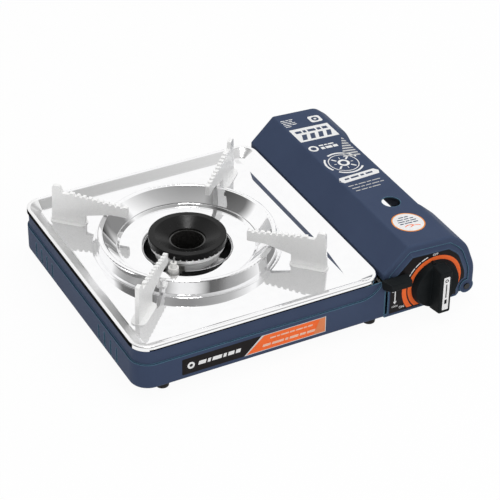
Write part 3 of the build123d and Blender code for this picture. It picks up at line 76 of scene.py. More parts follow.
# ---------------------------------------------------------------- places that change a finish
BURNER = (-0.0573, 0.0175)  # the burner's axis
BORE_EDGE = (0.0185, 0.0200)  # radii between the burner's darker bore and its polished outside
SHADE_WELL_EDGE = (0.060, 0.100)  # radii over which the painted shade and reflection under the burner, a grey well, fades out
SHADE_WELL_FLOOR = 0.0074  # the well is the sheet's inside, above this height
SKIRT_LEFT = -0.1732  # the tray's skirt lies outside these
SKIRT_FRONT = -0.1222
LEFT_SKIRT_TOP = 0.05275  # and is painted black below these heights, as painted shade
FRONT_SKIRT_TOP = 0.0500
RIM_LEFT = -0.158  # the rim is satin, and carries a painted reflection tone, outside these
RIM_BACK = 0.127
BOWL_OUTSIDE = 0.096  # radius round the trough and the ridge
FLOOR_EDGE = (0.0464, 0.0472)  # heights between the tray's floor and the rim's slope
CREST_EDGE = (0.0522, 0.0529)  # and between that slope and the rim's crest
BACK_SPAN = (-0.150, 0.030)  # from left to right, the painted reflection on the satin back grows paler over this stretch
CREASE_START = 0.0490  # the crease on the tray's right side falls to the right from here
CREASE_WIDTH = 0.0048
CREASE_FALL = 0.214  # of its width
CREASE_SPAN = (-0.093, -0.050)  # from its point at the front to its full width

# ---------------------------------------------------------------- patterns
MOTTLING = 22  # features per metre, as in every call of noise
PEEL = 900
CASTING_STRETCH = (1, 1, 8)


def new_tree(name):
    """A material with its node tree and its shader."""
    mat = bpy.data.materials.new(name)
    mat.use_nodes = True
    tree = mat.node_tree
    return mat, tree, tree.nodes["Principled BSDF"]


def noise(tree, scale, detail=3.0, stretch=(1, 1, 1)):
    """Noise in the object's own space: scale counts features per metre."""
    place = tree.nodes.new("ShaderNodeTexCoord")
    mapping = tree.nodes.new("ShaderNodeMapping")
    mapping.inputs["Scale"].default_value = stretch
    pattern = tree.nodes.new("ShaderNodeTexNoise")
    pattern.inputs["Scale"].default_value = scale
    pattern.inputs["Detail"].default_value = detail
    tree.links.new(place.outputs["Object"], mapping.inputs["Vector"])
    tree.links.new(mapping.outputs["Vector"], pattern.inputs["Vector"])
    return pattern.outputs["Fac"]


def spread(tree, value, low, high, start=0.3, end=0.7):
    """Maps start..end of a value onto low..high. A noise mostly runs from 0.3 to 0.7."""
    node = tree.nodes.new("ShaderNodeMapRange")
    node.inputs["From Min"].default_value = start
    node.inputs["From Max"].default_value = end
    node.inputs["To Min"].default_value = low
    node.inputs["To Max"].default_value = high
    tree.links.new(value, node.inputs["Value"])
    return node.outputs["Result"]


def blend(tree, factor, first, second):
    """Colour between first and second, each a colour or an output socket."""
    mix = tree.nodes.new("ShaderNodeMix")
    mix.data_type = "RGBA"
    tree.links.new(factor, mix.inputs["Factor"])
    for socket, colour in ((mix.inputs["A"], first), (mix.inputs["B"], second)):
        if isinstance(colour, tuple):
            socket.default_value = (*colour, 1)
        else:
            tree.links.new(colour, socket)
    return mix.outputs["Result"]


def edge_mask(tree, radius, gain):
    """1 along the piece's edges and 0 on its faces."""
    rounded = tree.nodes.new("ShaderNodeBevel")
    rounded.samples = 6
    rounded.inputs["Radius"].default_value = radius
    surface = tree.nodes.new("ShaderNodeNewGeometry")
    compare = tree.nodes.new("ShaderNodeVectorMath")
    compare.operation = "DOT_PRODUCT"
    tree.links.new(rounded.outputs["Normal"], compare.inputs[0])
    tree.links.new(surface.outputs["Normal"], compare.inputs[1])
    mask = tree.nodes.new("ShaderNodeMapRange")
    mask.inputs["From Min"].default_value = 1.0
    mask.inputs["From Max"].default_value = 1.0 - gain
    tree.links.new(compare.outputs["Value"], mask.inputs["Value"])
    return mask.outputs["Result"]


def relief(tree, height, strength, distance, under=None):
    """Bump from a pattern, on top of another bump if there is one."""
    bump = tree.nodes.new("ShaderNodeBump")
    bump.inputs["Strength"].default_value = strength
    bump.inputs["Distance"].default_value = distance
    tree.links.new(height, bump.inputs["Height"])
    if under:
        tree.links.new(under, bump.inputs["Normal"])
    return bump.outputs["Normal"]


def calculated(tree, operation, *values):
    """Result of a math node on numbers or sockets."""
    node = tree.nodes.new("ShaderNodeMath")
    node.operation = operation
    for socket, value in zip(node.inputs, values):
        if isinstance(value, (int, float)):
            socket.default_value = value
        else:
            tree.links.new(value, socket)
    return node.outputs[0]


def above(tree, value, edge):
    """1 where a value is over an edge, else 0."""
    return calculated(tree, "GREATER_THAN", value, edge)


def below(tree, value, edge):
    """1 where a value is under an edge, else 0."""
    return calculated(tree, "LESS_THAN", value, edge)


def both(tree, first, second):
    """Where two masks overlap."""
    return calculated(tree, "MULTIPLY", first, second)


def either(tree, first, second):
    """Where either of two masks is."""
    return calculated(tree, "MAXIMUM", first, second)


def place_of(tree):
    """The object's own coordinates, in metres."""
    place = tree.nodes.new("ShaderNodeTexCoord")
    parts = tree.nodes.new("ShaderNodeSeparateXYZ")
    tree.links.new(place.outputs["Object"], parts.inputs[0])
    return parts.outputs["X"], parts.outputs["Y"], parts.outputs["Z"]


def burner_distance(tree, x, y):
    """Distance from the burner's axis."""
    across = calculated(tree, "POWER", calculated(tree, "SUBTRACT", x, BURNER[0]), 2.0)
    along = calculated(tree, "POWER", calculated(tree, "SUBTRACT", y, BURNER[1]), 2.0)
    return calculated(tree, "SQRT", calculated(tree, "ADD", across, along))


# ---------------------------------------------------------------- materials
def painted(name, shade_well=False):
    """Baked paint on sheet steel: orange peel, mottling, and a painted highlight, a paler line,
    along pressed edges.
    """
    mat, tree, shader = new_tree(name)
    tone = blend(tree, spread(tree, noise(tree, MOTTLING), 0, 1), PAINT_DEEP, PAINT)
    # Painted shade and reflection: grey on the sheet's inside under the burner, in place of the
    # blue.
    if shade_well:
        x, y, z = place_of(tree)
        near = spread(tree, burner_distance(tree, x, y), 1, 0, *SHADE_WELL_EDGE)
        tone = blend(tree, both(tree, near, above(tree, z, SHADE_WELL_FLOOR)), tone, SHADE_WELL_GREY)
    # Painted highlight: a paler teal along the pressed edges.
    highlighted = blend(tree, edge_mask(tree, radius=1.2 * MM, gain=0.16), tone, PAINT_EDGE_HIGHLIGHT)
    tree.links.new(highlighted, shader.inputs["Base Color"])
    tree.links.new(spread(tree, noise(tree, 700), 0.46, 0.56), shader.inputs["Roughness"])
    peel = relief(tree, noise(tree, PEEL, detail=2), 0.25, 0.03 * MM)
    tree.links.new(peel, shader.inputs["Normal"])
    shader.inputs["Specular IOR Level"].default_value = 0.05
    return mat


def plated(name, colour, deep, roughness, scale=260, metallic=1.0):
    """Metal: fine drawing or casting marks, and patches a little duller than the rest."""
    mat, tree, shader = new_tree(name)
    tone = blend(tree, spread(tree, noise(tree, scale), 0, 1), deep, colour)
    tree.links.new(tone, shader.inputs["Base Color"])
    patches = spread(tree, noise(tree, scale * 2.5), *roughness)
    tree.links.new(patches, shader.inputs["Roughness"])
    marks = relief(tree, noise(tree, scale * 4), 0.3, 0.02 * MM)
    tree.links.new(marks, shader.inputs["Normal"])
    shader.inputs["Metallic"].default_value = metallic
    return mat


def moulded(name, colour, deep, roughness, grain=0.04 * MM, edge=None, gloss=0.5):
    """Moulded plastic, rubber or glaze: an even grain, slightly uneven gloss, and a painted
    highlight along the edges where an edge colour is given.
    """
    mat, tree, shader = new_tree(name)
    tone = blend(tree, spread(tree, noise(tree, 60), 0, 1), deep, colour)
    # Painted highlight: a paler colour along the edges.
    if edge:
        tone = blend(tree, edge_mask(tree, radius=0.7 * MM, gain=0.25), tone, edge)
    tree.links.new(tone, shader.inputs["Base Color"])
    tree.links.new(spread(tree, noise(tree, 350), *roughness), shader.inputs["Roughness"])
    bumps = relief(tree, noise(tree, 1400, detail=2), 0.35, grain)
    tree.links.new(bumps, shader.inputs["Normal"])
    shader.inputs["Specular IOR Level"].default_value = gloss
    return mat


def ink(name, colour, deep, roughness=(0.42, 0.52), gloss=0.1):
    """Printing ink or film: as moulded, and smoother."""
    return moulded(name, colour, deep, roughness, grain=0.01 * MM, gloss=gloss)


def mirror_sheet(name):
    """Polished tray: a crease on its right side, painted shade on the skirt, and a satin left and
    back rim whose colour carries a painted reflection.
    """
    mat, tree, shader = new_tree(name)
    x, y, z = place_of(tree)

    width = spread(tree, y, 0.0, CREASE_WIDTH, *CREASE_SPAN)
    past = calculated(tree, "MAXIMUM", calculated(tree, "SUBTRACT", x, CREASE_START), 0.0)
    run = calculated(tree, "MINIMUM", past, width)
    crease = relief(tree, calculated(tree, "MULTIPLY", run, -CREASE_FALL), 1.0, 1.0)
    uneven = relief(tree, noise(tree, 30, detail=1), 0.3, 0.02 * MM, under=crease)
    tree.links.new(uneven, shader.inputs["Normal"])

    # Painted shade: the skirt is black below its top, for the shadow gap over the housing.
    left_skirt = both(tree, below(tree, x, SKIRT_LEFT), below(tree, z, LEFT_SKIRT_TOP))
    front_skirt = both(tree, below(tree, y, SKIRT_FRONT), below(tree, z, FRONT_SKIRT_TOP))
    shaded_skirt = either(tree, left_skirt, front_skirt)

    # The rim is satin, and its colour carries a painted reflection, all over on the left and below
    # its crest at the back.
    on_left = below(tree, x, RIM_LEFT)
    outside = above(tree, burner_distance(tree, x, y), BOWL_OUTSIDE)
    raised = both(tree, outside, spread(tree, z, 0, 1, *FLOOR_EDGE))
    slope = either(tree, spread(tree, z, 1, 0, *CREST_EDGE), on_left)
    dull_side = either(tree, on_left, above(tree, y, RIM_BACK))
    rim = both(tree, both(tree, raised, slope), dull_side)
    back_reflection_tone = blend(tree, spread(tree, x, 0, 1, *BACK_SPAN), *RIM_BACK_REFLECTION_TONES)
    rim_reflection_tone = blend(tree, on_left, back_reflection_tone, RIM_LEFT_REFLECTION_TONE)

    tone = blend(tree, spread(tree, noise(tree, 90), 0, 1), CHROME_DEEP, CHROME)
    tone = blend(tree, rim, tone, rim_reflection_tone)
    tree.links.new(blend(tree, shaded_skirt, tone, SKIRT_SHADE_BLACK), shader.inputs["Base Color"])
    polish = spread(tree, noise(tree, 260), 0.030, 0.048)
    dulled = calculated(tree, "MULTIPLY_ADD", rim, 0.26, polish)
    tree.links.new(calculated(tree, "MULTIPLY_ADD", shaded_skirt, 0.80, dulled),
                   shader.inputs["Roughness"])
    shader.inputs["Metallic"].default_value = 1.0
    return mat


def burner_casting(name):
    """Burner head: turned and polished outside, darker in its bore."""
    mat, tree, shader = new_tree(name)
    x, y, _ = place_of(tree)
    outer = spread(tree, burner_distance(tree, x, y), 0, 1, *BORE_EDGE)
    turning = noise(tree, 260, stretch=CASTING_STRETCH)
    polished = blend(tree, spread(tree, turning, 0, 1), CAST_DEEP, CAST)
    dark_bore = blend(tree, spread(tree, noise(tree, 400), 0, 1), BORE_DARK_DEEP, BORE_DARK)
    tree.links.new(blend(tree, outer, dark_bore, polished), shader.inputs["Base Color"])
    tree.links.new(calculated(tree, "MULTIPLY", outer, 0.12), shader.inputs["Metallic"])
    patches = noise(tree, 650, stretch=CASTING_STRETCH)
    tree.links.new(spread(tree, patches, 0.16, 0.26), shader.inputs["Roughness"])
    marks = relief(tree, noise(tree, 900, stretch=CASTING_STRETCH), 0.3, 0.01 * MM)
    tree.links.new(marks, shader.inputs["Normal"])
    return mat


def plain_name(mat):
    """A material's name, without the number that Blender adds to a name in use."""
    return mat.name.split(".")[0]


BLACK_RUBBER = ((0.020, 0.020, 0.020), (0.014, 0.014, 0.014))
materials = {plain_name(mat): mat for mat in (
    painted("housing_paint", shade_well=True),
    painted("cover_paint"),
    ink("label_film", FILM_BLACK, FILM_DEEP, (0.40, 0.50), gloss=0.08),
    mirror_sheet("tray_mirror"),
    plated("support_enamel", ZINC, ZINC_DEEP, (0.24, 0.34), scale=900, metallic=0.15),
    moulded("burner_enamel", (0.008, 0.008, 0.008), (0.005, 0.005, 0.005), (0.20, 0.28),
            gloss=0.16),
    burner_casting("burner_alloy"),
    plated("regulator_alloy", (0.52, 0.52, 0.51), (0.42, 0.42, 0.41), (0.38, 0.52)),
    plated("tube_aluminium", (0.72, 0.72, 0.73), (0.62, 0.62, 0.63), (0.28, 0.38)),
    plated("inner_steel", (0.50, 0.50, 0.49), (0.38, 0.38, 0.37), (0.34, 0.50), scale=120),
    plated("fastener_steel", (0.34, 0.34, 0.34), (0.26, 0.26, 0.26), (0.28, 0.40), scale=600),
    plated("pin_steel", (0.060, 0.060, 0.062), (0.040, 0.040, 0.042), (0.34, 0.46), scale=600),
    plated("jet_brass", (0.72, 0.50, 0.20), (0.60, 0.40, 0.15), (0.22, 0.34), scale=600),
    moulded("igniter_ceramic", (0.88, 0.87, 0.85), (0.80, 0.79, 0.77), (0.22, 0.34)),
    # Its edge colour is a painted highlight along its edges.
    moulded("control_plastic", (0.012, 0.014, 0.015), (0.008, 0.010, 0.011), (0.50, 0.62),
            edge=(0.026, 0.034, 0.038), gloss=0.06),
    moulded("lead_jacket", *BLACK_RUBBER, (0.45, 0.60), gloss=0.3),
    moulded("seal_rubber", *BLACK_RUBBER, (0.55, 0.70), gloss=0.3),
    moulded("foot_rubber", (0.014, 0.014, 0.014), (0.010, 0.010, 0.010), (0.55, 0.70),
            gloss=0.2),
    ink("ink_white", INK_WHITE, (0.80, 0.80, 0.80), gloss=0.2),
    ink("ink_orange", ORANGE, (0.88, 0.150, 0.034)),
    ink("ink_yellow", (0.86, 0.30, 0.05), (0.80, 0.27, 0.04)),
    ink("ink_amber", (0.76, 0.26, 0.11), (0.70, 0.22, 0.09)),
    ink("ink_cream", (0.84, 0.55, 0.42), (0.80, 0.50, 0.38)),
    ink("ink_black", FILM_BLACK, FILM_DEEP, (0.40, 0.50), gloss=0.08),
    ink("ink_blue", PAINT, PAINT_DEEP, (0.46, 0.56), gloss=0.12),
    plated("ink_silver", (0.62, 0.62, 0.62), (0.52, 0.52, 0.52), (0.22, 0.34), scale=900),
)}
for node in nodes.values():
    for slot in node.material_slots:
        slot.material = materials[plain_name(slot.material)]
for slot in nodes["hinge_pins"].material_slots:
    slot.material = materials["pin_steel"]
# The flats of the pressed tray mirror flatly, right up to their rounded edges.
flats = nodes["drip_tray"].modifiers.new("flats", "WEIGHTED_NORMAL")
flats.weight = 80
flats.keep_sharp = True

# ---------------------------------------------------------------- outlines for printing
ARC_STEP = 3.0  # degrees


def bar(left, low, right, high, corner=0.0):
    """Outline of a rectangle, its corners rounded where a corner radius is given."""
    if not corner:
        return [(left, low), (right, low), (right, high), (left, high)]
    centres = ((right - corner, low + corner, -90), (right - corner, high - corner, 0),
               (left + corner, high - corner, 90), (left + corner, low + corner, 180))
    return [(u + corner * math.cos(math.radians(start + turn)),
             v + corner * math.sin(math.radians(start + turn)))
            for u, v, start in centres for turn in (0, 30, 60, 90)]


def arc(centre, radius, start, end):
    """Points along an arc, angles in degrees."""
    count = max(2, round(abs(end - start) / ARC_STEP) + 1)
    angles = [math.radians(start + (end - start) * i / (count - 1)) for i in range(count)]
    return [(centre[0] + radius * math.cos(a), centre[1] + radius * math.sin(a))
            for a in angles]


def band(centre, inner, outer, start, end):
    """Outline of a piece of a ring."""
    return arc(centre, outer, start, end) + arc(centre, inner, end, start)


def circle(centre, radius):
    """Outline of a circle, its last point one step before its first."""
    return arc(centre, radius, 0, 360 - ARC_STEP)


def turned(points, centre, angle):
    """An outline about the origin, turned by degrees and moved to a centre."""
    a = math.radians(angle)
    return [(centre[0] + u * math.cos(a) - v * math.sin(a),
             centre[1] + u * math.sin(a) + v * math.cos(a)) for u, v in points]


def dashes(left, low, widths, gap, height, slant=0.0, climb=0.0):
    """A row of plain bars in place of small print: slant leans them, climb tilts the row."""
    row = []
    start = left
    for width in widths:
        base = low + climb * (start - left)
        end = base + climb * width
        row.append([(start, base), (start + width, end), (start + width + slant, end + height),
                    (start + slant, base + height)])
        start += width + gap
    return row


def paragraph(starts, low, drop, rows, gap, height, climb=0.0):
    """Rows of bars under each other, each from its own left end."""
    return [outline for i, (left, widths) in enumerate(zip(starts, rows))
            for outline in dashes(left, low - drop * i, widths, gap, height, climb=climb)]


def as_mesh(curve):
    """The mesh that a curve or a lettering fills."""
    holder = bpy.data.objects.new("holder", curve)
    bpy.context.scene.collection.objects.link(holder)
    depsgraph = bpy.context.evaluated_depsgraph_get()
    mesh = bpy.data.meshes.new_from_object(holder.evaluated_get(depsgraph))
    bpy.data.objects.remove(holder)
    return mesh


def flat_outline(outlines):
    """A flat mesh filled inside the outlines; an outline inside another is a hole."""
    curve = bpy.data.curves.new("outline", "CURVE")
    curve.dimensions = "2D"
    curve.fill_mode = "BOTH"
    for points in outlines:
        spline = curve.splines.new("POLY")
        spline.points.add(len(points) - 1)
        for target, (u, v) in zip(spline.points, points):
            target.co = (u * MM, v * MM, 0, 1)
        spline.use_cyclic_u = True
    return as_mesh(curve)


def flat_text(words, size, middle):
    """A flat mesh of generic lettering, a little bold, centred on a place."""
    curve = bpy.data.curves.new("lettering", "FONT")
    curve.body = words
    curve.size = size * MM
    curve.align_x = "CENTER"
    curve.align_y = "CENTER"
    curve.offset = 0.02 * size * MM
    mesh = as_mesh(curve)
    mesh.transform(Matrix.Translation((middle[0] * MM, middle[1] * MM, 0)))
    return mesh


# ---------------------------------------------------------------- printing
PRINT_THICKNESS = 0.08
PRINT_LAYER = 0.05  # each later ink stands this much prouder than the one under it
PRINT_SINK = 0.02  # a print's underside lies this deep in the sheet
CROSS_STEP = 2.0  # a print on the curved cover is cut this finely, so that it follows the sheet

FRONT = (Vector((1, 0, 0)), Vector((0, 0, 1)), Vector((0, -0.3, 0)))  # seen from the front
ABOVE = (Vector((1, 0, 0)), Vector((0, 1, 0)), Vector((0, 0, 0.3)))  # seen from above


def surface_of(name):
    """What a ray from outside meets first on a node."""
    shape = bmesh.new()
    shape.from_mesh(nodes[name].data)
    return BVHTree.FromBMesh(shape)


def add_object(name, work, material):
    """A new object from mesh code, in one material."""
    mesh = bpy.data.meshes.new(name)
    work.to_mesh(mesh)
    work.free()
    mesh.materials.append(material)
    made = bpy.data.objects.new(name, mesh)
    bpy.context.scene.collection.objects.link(made)
    return made


def cut(work, place, normal, clear=False):
    """Cuts a mesh along a plane, and clears what lies behind it if asked."""
    bmesh.ops.bisect_plane(work, geom=work.verts[:] + work.edges[:] + work.faces[:],
                           plane_co=place, plane_no=normal, clear_inner=clear)


def lay(name, flat_meshes, ink_name, where, layer=0, lowest=None):
    """A thin print, laid on a surface as it is seen from one side, that rides with a body.

    where holds that surface, the side, the body and the record's slot; the slot is not used.
    What lies under lowest is cut away.
    """
    surface, side, body, slot = where
    across, up, away = side
    look = -away.normalized()
    work = bmesh.new()
    for mesh in flat_meshes:
        work.from_mesh(mesh)
    if lowest is not None:
        cut(work, Vector((0, lowest * MM, 0)), Vector((0, 1, 0)), clear=True)
    if side is ABOVE:
        for axis, normal in ((0, Vector((1, 0, 0))), (1, Vector((0, 1, 0)))):
            low = min(v.co[axis] for v in work.verts)
            high = max(v.co[axis] for v in work.verts)
            steps = int((high - low) / (CROSS_STEP * MM))
            for i in range(1, steps + 1):
                cut(work, normal * (low + (high - low) * i / (steps + 1)), normal)
    lift = (PRINT_THICKNESS + PRINT_LAYER * layer) * MM
    for vert in work.verts:
        start = across * vert.co.x + up * vert.co.y + away
        place, _, _, _ = surface.ray_cast(start, look)
        if place is None:
            raise RuntimeError(f"{name} leaves the surface at {start}")
        vert.co = place - look * lift
    sides = bmesh.ops.extrude_face_region(work, geom=work.faces[:])
    for item in sides["geom"]:
        if isinstance(item, bmesh.types.BMVert):
            item.co += look * (lift + PRINT_SINK * MM)
    bmesh.ops.recalc_face_normals(work, faces=work.faces[:])
    piece = add_object(name, work, materials[ink_name])
    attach(piece, body)


def printed(name, outlines, ink_name, where, **options):
    """A print from its outlines."""
    lay(name, [flat_outline(outlines)], ink_name, where, **options)


# ---------------------------------------------------------------- control field
FIELD = (surface_of("control_label"), FRONT, "housing", "label_film")
FIELD_LOW = 11.4
KNOB = (128.7, 31.2)  # knob's axis, across and up
printed("knob_ring", [band(KNOB, 24.2, 29.0, -18, 238)], "ink_orange", FIELD, lowest=FIELD_LOW)
printed("on_arc", [band(KNOB, 30.4, 35.0, 176, 226)], "ink_orange", FIELD, lowest=FIELD_LOW)
printed("flame_marks",
        [band(KNOB, 30.9, 32.0, start, end)
         for start, end in ((106.5, 119.5), (121.5, 133.5), (135.5, 146), (147.5, 153))],
        "ink_white", FIELD)
for name, words, size, middle in (("word_off", "OFF", 3.3, (127.9, 62.2)),
                                  ("word_on", "ON", 3.6, (94.2, 13.9)),
                                  ("word_lock", "LOCK", 2.6, (86.9, 16.6))):
    lay(name, [flat_text(words, size, middle)], "ink_white", FIELD)
# The shaft, the point and the tail overlap, so each is filled by itself.
lay("lever_arrow", [flat_outline([bar(86.0, 20.6, 87.1, 34.4)]),
                    flat_outline([[(84.6, 22.4), (88.5, 22.4), (86.55, 19.2)]]),
                    flat_outline([bar(83.2, 33.2, 85.2, 34.3)])], "ink_white", FIELD)

# ---------------------------------------------------------------- strip along the front
WALL_FRONT = (surface_of("body_shell"), FRONT, "housing", "label_film")
STRIP = (-131.3, 12.3, 13.7, 29.5)  # left, low, right and high edges
STRIP_CORNER = 1.2
STRIP_RIM = 0.7  # silver border
JOINT = (-68.5, -51.0)  # the slanting joint of black and orange, at the low and high edges
JOINT_HALF = 1.2  # half the width of the silver line there
GLOW = (1.0, 7.5)  # left edge of the paler orange, at the low and high edges


def strip_part(foot, head, inset):
    """Outline of the strip's right part, from a slanting edge given at its foot and head."""
    _, low, right, high = STRIP
    return [(foot, low + inset), (right - inset, low + inset),
            (right - inset, high - inset), (head, high - inset)]


printed("strip_film", [bar(*STRIP, STRIP_CORNER)], "ink_black", WALL_FRONT)
printed("strip_silver", [strip_part(JOINT[0] - JOINT_HALF, JOINT[1] - JOINT_HALF, 0.0)],
        "ink_silver", WALL_FRONT, layer=1)
printed("strip_orange", [strip_part(JOINT[0] + JOINT_HALF, JOINT[1] + JOINT_HALF, STRIP_RIM)],
        "ink_orange", WALL_FRONT, layer=2)
printed("strip_glow", [strip_part(*GLOW, STRIP_RIM)], "ink_amber", WALL_FRONT, layer=3)
printed("strip_mark", [circle((-122.5, 20.8), 3.6), circle((-122.5, 20.8), 1.6)]
        + dashes(-115.6, 18.9, (7.4, 3.0, 9.2, 3.0, 6.0, 4.6), 1.7, 3.9, slant=0.9),
        "ink_white", WALL_FRONT, layer=1)
printed("strip_lines", dashes(-44.0, 23.6, (6, 3, 8, 5, 7, 3, 5), 1.1, 1.5, slant=0.4)
        + dashes(-51.5, 16.6, (8, 12, 3, 9, 6, 8), 1.5, 2.5, slant=0.7),
        "ink_cream", WALL_FRONT, layer=4)

# ---------------------------------------------------------------- prints on the cover
LID = (surface_of("cartridge_cover"), ABOVE, "cover", "cover_paint")
EMBLEM = (119.7, 33.0)
STICKER = (121.2, -85.0)
STRIPE_ACROSS = 2.3  # the sloping stripes' left ends step in by this much
STRIPE_DOWN = 4.6
STRIPE_COUNT = 8
printed("lid_panel", [bar(99.8, 83.0, 143.6, 108.4, 0.6)], "ink_white", LID)
printed("lid_panel_marks", dashes(103.6, 99.4, (6.6, 3.2, 8.6, 4.0, 5.6), 2.0, 4.2)
        + dashes(104.0, 86.0, (5.2, 5.2, 5.2, 5.2), 4.0, 9.6, slant=3.6),
        "ink_blue", LID, layer=2)
printed("lid_notes", paragraph([100.4] * 5, 127.0, 3.1,
                               ((5, 3, 4), (7, 4), (3, 6, 3), (8, 5), (6,)), 0.8, 1.1),
        "ink_white", LID)
printed("lid_badge", [bar(129.6, 114.2, 142.8, 126.4, 2.6), circle((136.2, 120.3), 3.9),
                      circle((136.2, 120.3), 1.5)], "ink_white", LID)
printed("lid_sign", [circle((105.4, 67.6), 5.2), circle((105.4, 67.6), 3.0)]
        + dashes(113.0, 69.8, (5, 3, 6), 1.2, 2.0) + dashes(113.0, 63.6, (4, 7, 5), 1.2, 4.0),
        "ink_white", LID)
# Stripes that narrow to a point, beside the sign.
printed("lid_stripes", [[(141.9 - STRIPE_ACROSS * i, 77.0 - STRIPE_DOWN * i),
                         (143.2, 75.2 - STRIPE_DOWN * i), (143.2, 72.8 - STRIPE_DOWN * i),
                         (140.7 - STRIPE_ACROSS * i, 74.6 - STRIPE_DOWN * i)]
                        for i in range(STRIPE_COUNT)], "ink_silver", LID)
printed("lid_emblem",
        [band(EMBLEM, 17.6, 19.6, start, end) for start, end in ((20, 118), (142, 208), (226, 322))]
        + [circle(EMBLEM, radius) for radius in (15.4, 14.5, 6.0, 3.4)]
        + [turned(bar(7.4, -0.9, 12.8, 0.9), EMBLEM, turn) for turn in (45, 135, 225, 315)]
        + [turned(bar(7.8, -0.4, 10.4, 0.4), EMBLEM, turn) for turn in (0, 90, 180, 270)],
        "ink_white", LID)
printed("lid_ribbon", [[(97.9, 3.6), (101.4, -1.2), (142.4, 3.2), (144.4, 8.3), (140.6, 12.6),
                        (100.6, 8.6)]]
        + dashes(104.6, 3.2, (5, 9, 4, 8), 2.2, 2.6, climb=0.1), "ink_white", LID)
printed("lid_lines", paragraph([101.4 + 1.4 * i for i in range(3)], -8.6, 4.9,
                               ((6, 3, 8, 5, 9), (9, 4, 6, 8, 4), (5, 7, 3, 9)), 1.3, 1.2,
                               climb=0.06), "ink_silver", LID)
printed("sticker_rim", [circle(STICKER, 15.9)], "ink_yellow", LID)
printed("sticker_field", [circle(STICKER, 14.7)], "ink_white", LID, layer=1)
printed("sticker_lines",
        paragraph([STICKER[0] - back for back in (5.4, 8.6, 9.6, 9.6)], STICKER[1] + 8.4, 3.4,
                  ((5, 4), (6, 5, 4), (7, 4, 6), (4, 8, 5)), 1.1, 1.3),
        "ink_blue", LID, layer=2)
printed("sticker_wave", [band((STICKER[0] - 2.0, STICKER[1] - 12.6), 7.6, 8.6, 50, 130),
                         band((STICKER[0] + 3.0, STICKER[1] - 14.4), 7.6, 8.6, 50, 130)],
        "ink_orange", LID, layer=2)

# ---------------------------------------------------------------- strip on the knob
GRIP = (surface_of("control_knob"), FRONT, "knob", "control_plastic")
printed("knob_strip", [bar(126.1, 12.0, 132.6, 48.2, 0.8), circle((129.35, 44.2), 1.9),
                       circle((129.35, 44.2), 0.9), bar(128.0, 18.6, 130.7, 23.4, 0.4),
                       bar(128.7, 25.4, 130.0, 40.4, 0.3)], "ink_white", GRIP)

# ---------------------------------------------------------------- pressed forms of the tray
TRAY_FLOOR = 46.0
SHEET = 0.7
NOTCH_TURN = -132.0  # the igniter's notch, degrees about the burner
NOTCH_HALF = 13.0
RING_STEPS = 168
HOLE_RADIUS = 45.5
LIP_ROLL = 5.4  # radius of the rolled edge
LIP_DROP = 3.0  # straight part below the roll
LIP_LEVEL = TRAY_FLOOR - 1.05  # just under the face of the flat ring round the burner
LIP_OVERLAP = 0.4  # how far it reaches under that ring
LIP_TAPER = 0.2  # the straight part narrows by this much
LIP_STEP = 8  # degrees
WALL = ((80.1, 14.42), (73.4, 6.9), (66.2, 1.66))  # radius, and height above the tray's floor
WALL_STEPS = 14


def pressed_ring(name, upper, gap):
    """A ring of sheet on the tray, turned about the burner, with a gap at the notch.

    upper is its face, as radius and height from outside in, and gap is half the gap's angle.
    """
    lower = [(r + 0.25 * SHEET, z - SHEET) for r, z in upper]
    section = upper + lower[::-1]
    work = bmesh.new()
    rings = []
    for i in range(RING_STEPS + 1 if gap else RING_STEPS):
        turn = math.radians(NOTCH_TURN + gap + (360 - 2 * gap) * i / RING_STEPS)
        rings.append([work.verts.new((BURNER[0] + r * MM * math.cos(turn),
                                      BURNER[1] + r * MM * math.sin(turn), z * MM))
                      for r, z in section])
    count = len(section)
    for ring, following in zip(rings, rings[1:] if gap else rings[1:] + rings[:1]):
        for i in range(count):
            after = (i + 1) % count
            work.faces.new((ring[i], ring[after], following[after], following[i]))
    if gap:
        work.faces.new(rings[0])
        work.faces.new(rings[-1][::-1])
    bmesh.ops.recalc_face_normals(work, faces=work.faces[:])
    for face in work.faces:
        face.smooth = len(face.verts) == 4
    piece = add_object(name, work, materials["tray_mirror"])
    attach(piece, "tray")


lip = [(HOLE_RADIUS + LIP_OVERLAP, LIP_LEVEL)]
for turn in range(0, 90, LIP_STEP):
    lip.append((HOLE_RADIUS - LIP_ROLL * math.sin(math.radians(turn)),
                LIP_LEVEL - LIP_ROLL + LIP_ROLL * math.cos(math.radians(turn))))
lip.append((lip[-1][0] - LIP_TAPER, lip[-1][1] - LIP_DROP))
pressed_ring("tray_lip", lip, NOTCH_HALF)

# Sloping wall from the ridge down to the bead: a Bezier curve on the three points of WALL.
wall = []
for step in range(WALL_STEPS + 1):
    t = step / WALL_STEPS
    radius, height = ((1 - t) ** 2 * a + 2 * t * (1 - t) * b + t * t * c for a, b, c in zip(*WALL))
    wall.append((radius, TRAY_FLOOR + height))
pressed_ring("tray_wall", wall, 0)

# ---------------------------------------------------------------- camera
toward = Vector((math.sin(VIEW_AZIMUTH) * math.cos(VIEW_ELEVATION),
                 -math.cos(VIEW_AZIMUTH) * math.cos(VIEW_ELEVATION), math.sin(VIEW_ELEVATION)))
level = Vector((math.cos(VIEW_AZIMUTH), math.sin(VIEW_AZIMUTH), 0))
upright = toward.cross(level)
right_side = level * math.cos(VIEW_ROLL) + upright * math.sin(VIEW_ROLL)
up_side = upright * math.cos(VIEW_ROLL) - level * math.sin(VIEW_ROLL)
camera_data = bpy.data.cameras.new("camera")
camera_data.lens = LENS
camera_data.clip_end = VIEW_END
camera = bpy.data.objects.new("camera", camera_data)
bpy.context.scene.collection.objects.link(camera)
stand = VIEW_AIM + toward * VIEW_DISTANCE + right_side * VIEW_PAN[0] + up_side * VIEW_PAN[1]
facing = Matrix((right_side, up_side, toward)).transposed().to_4x4()
camera.matrix_world = Matrix.Translation(stand) @ facing
bpy.context.scene.camera = camera

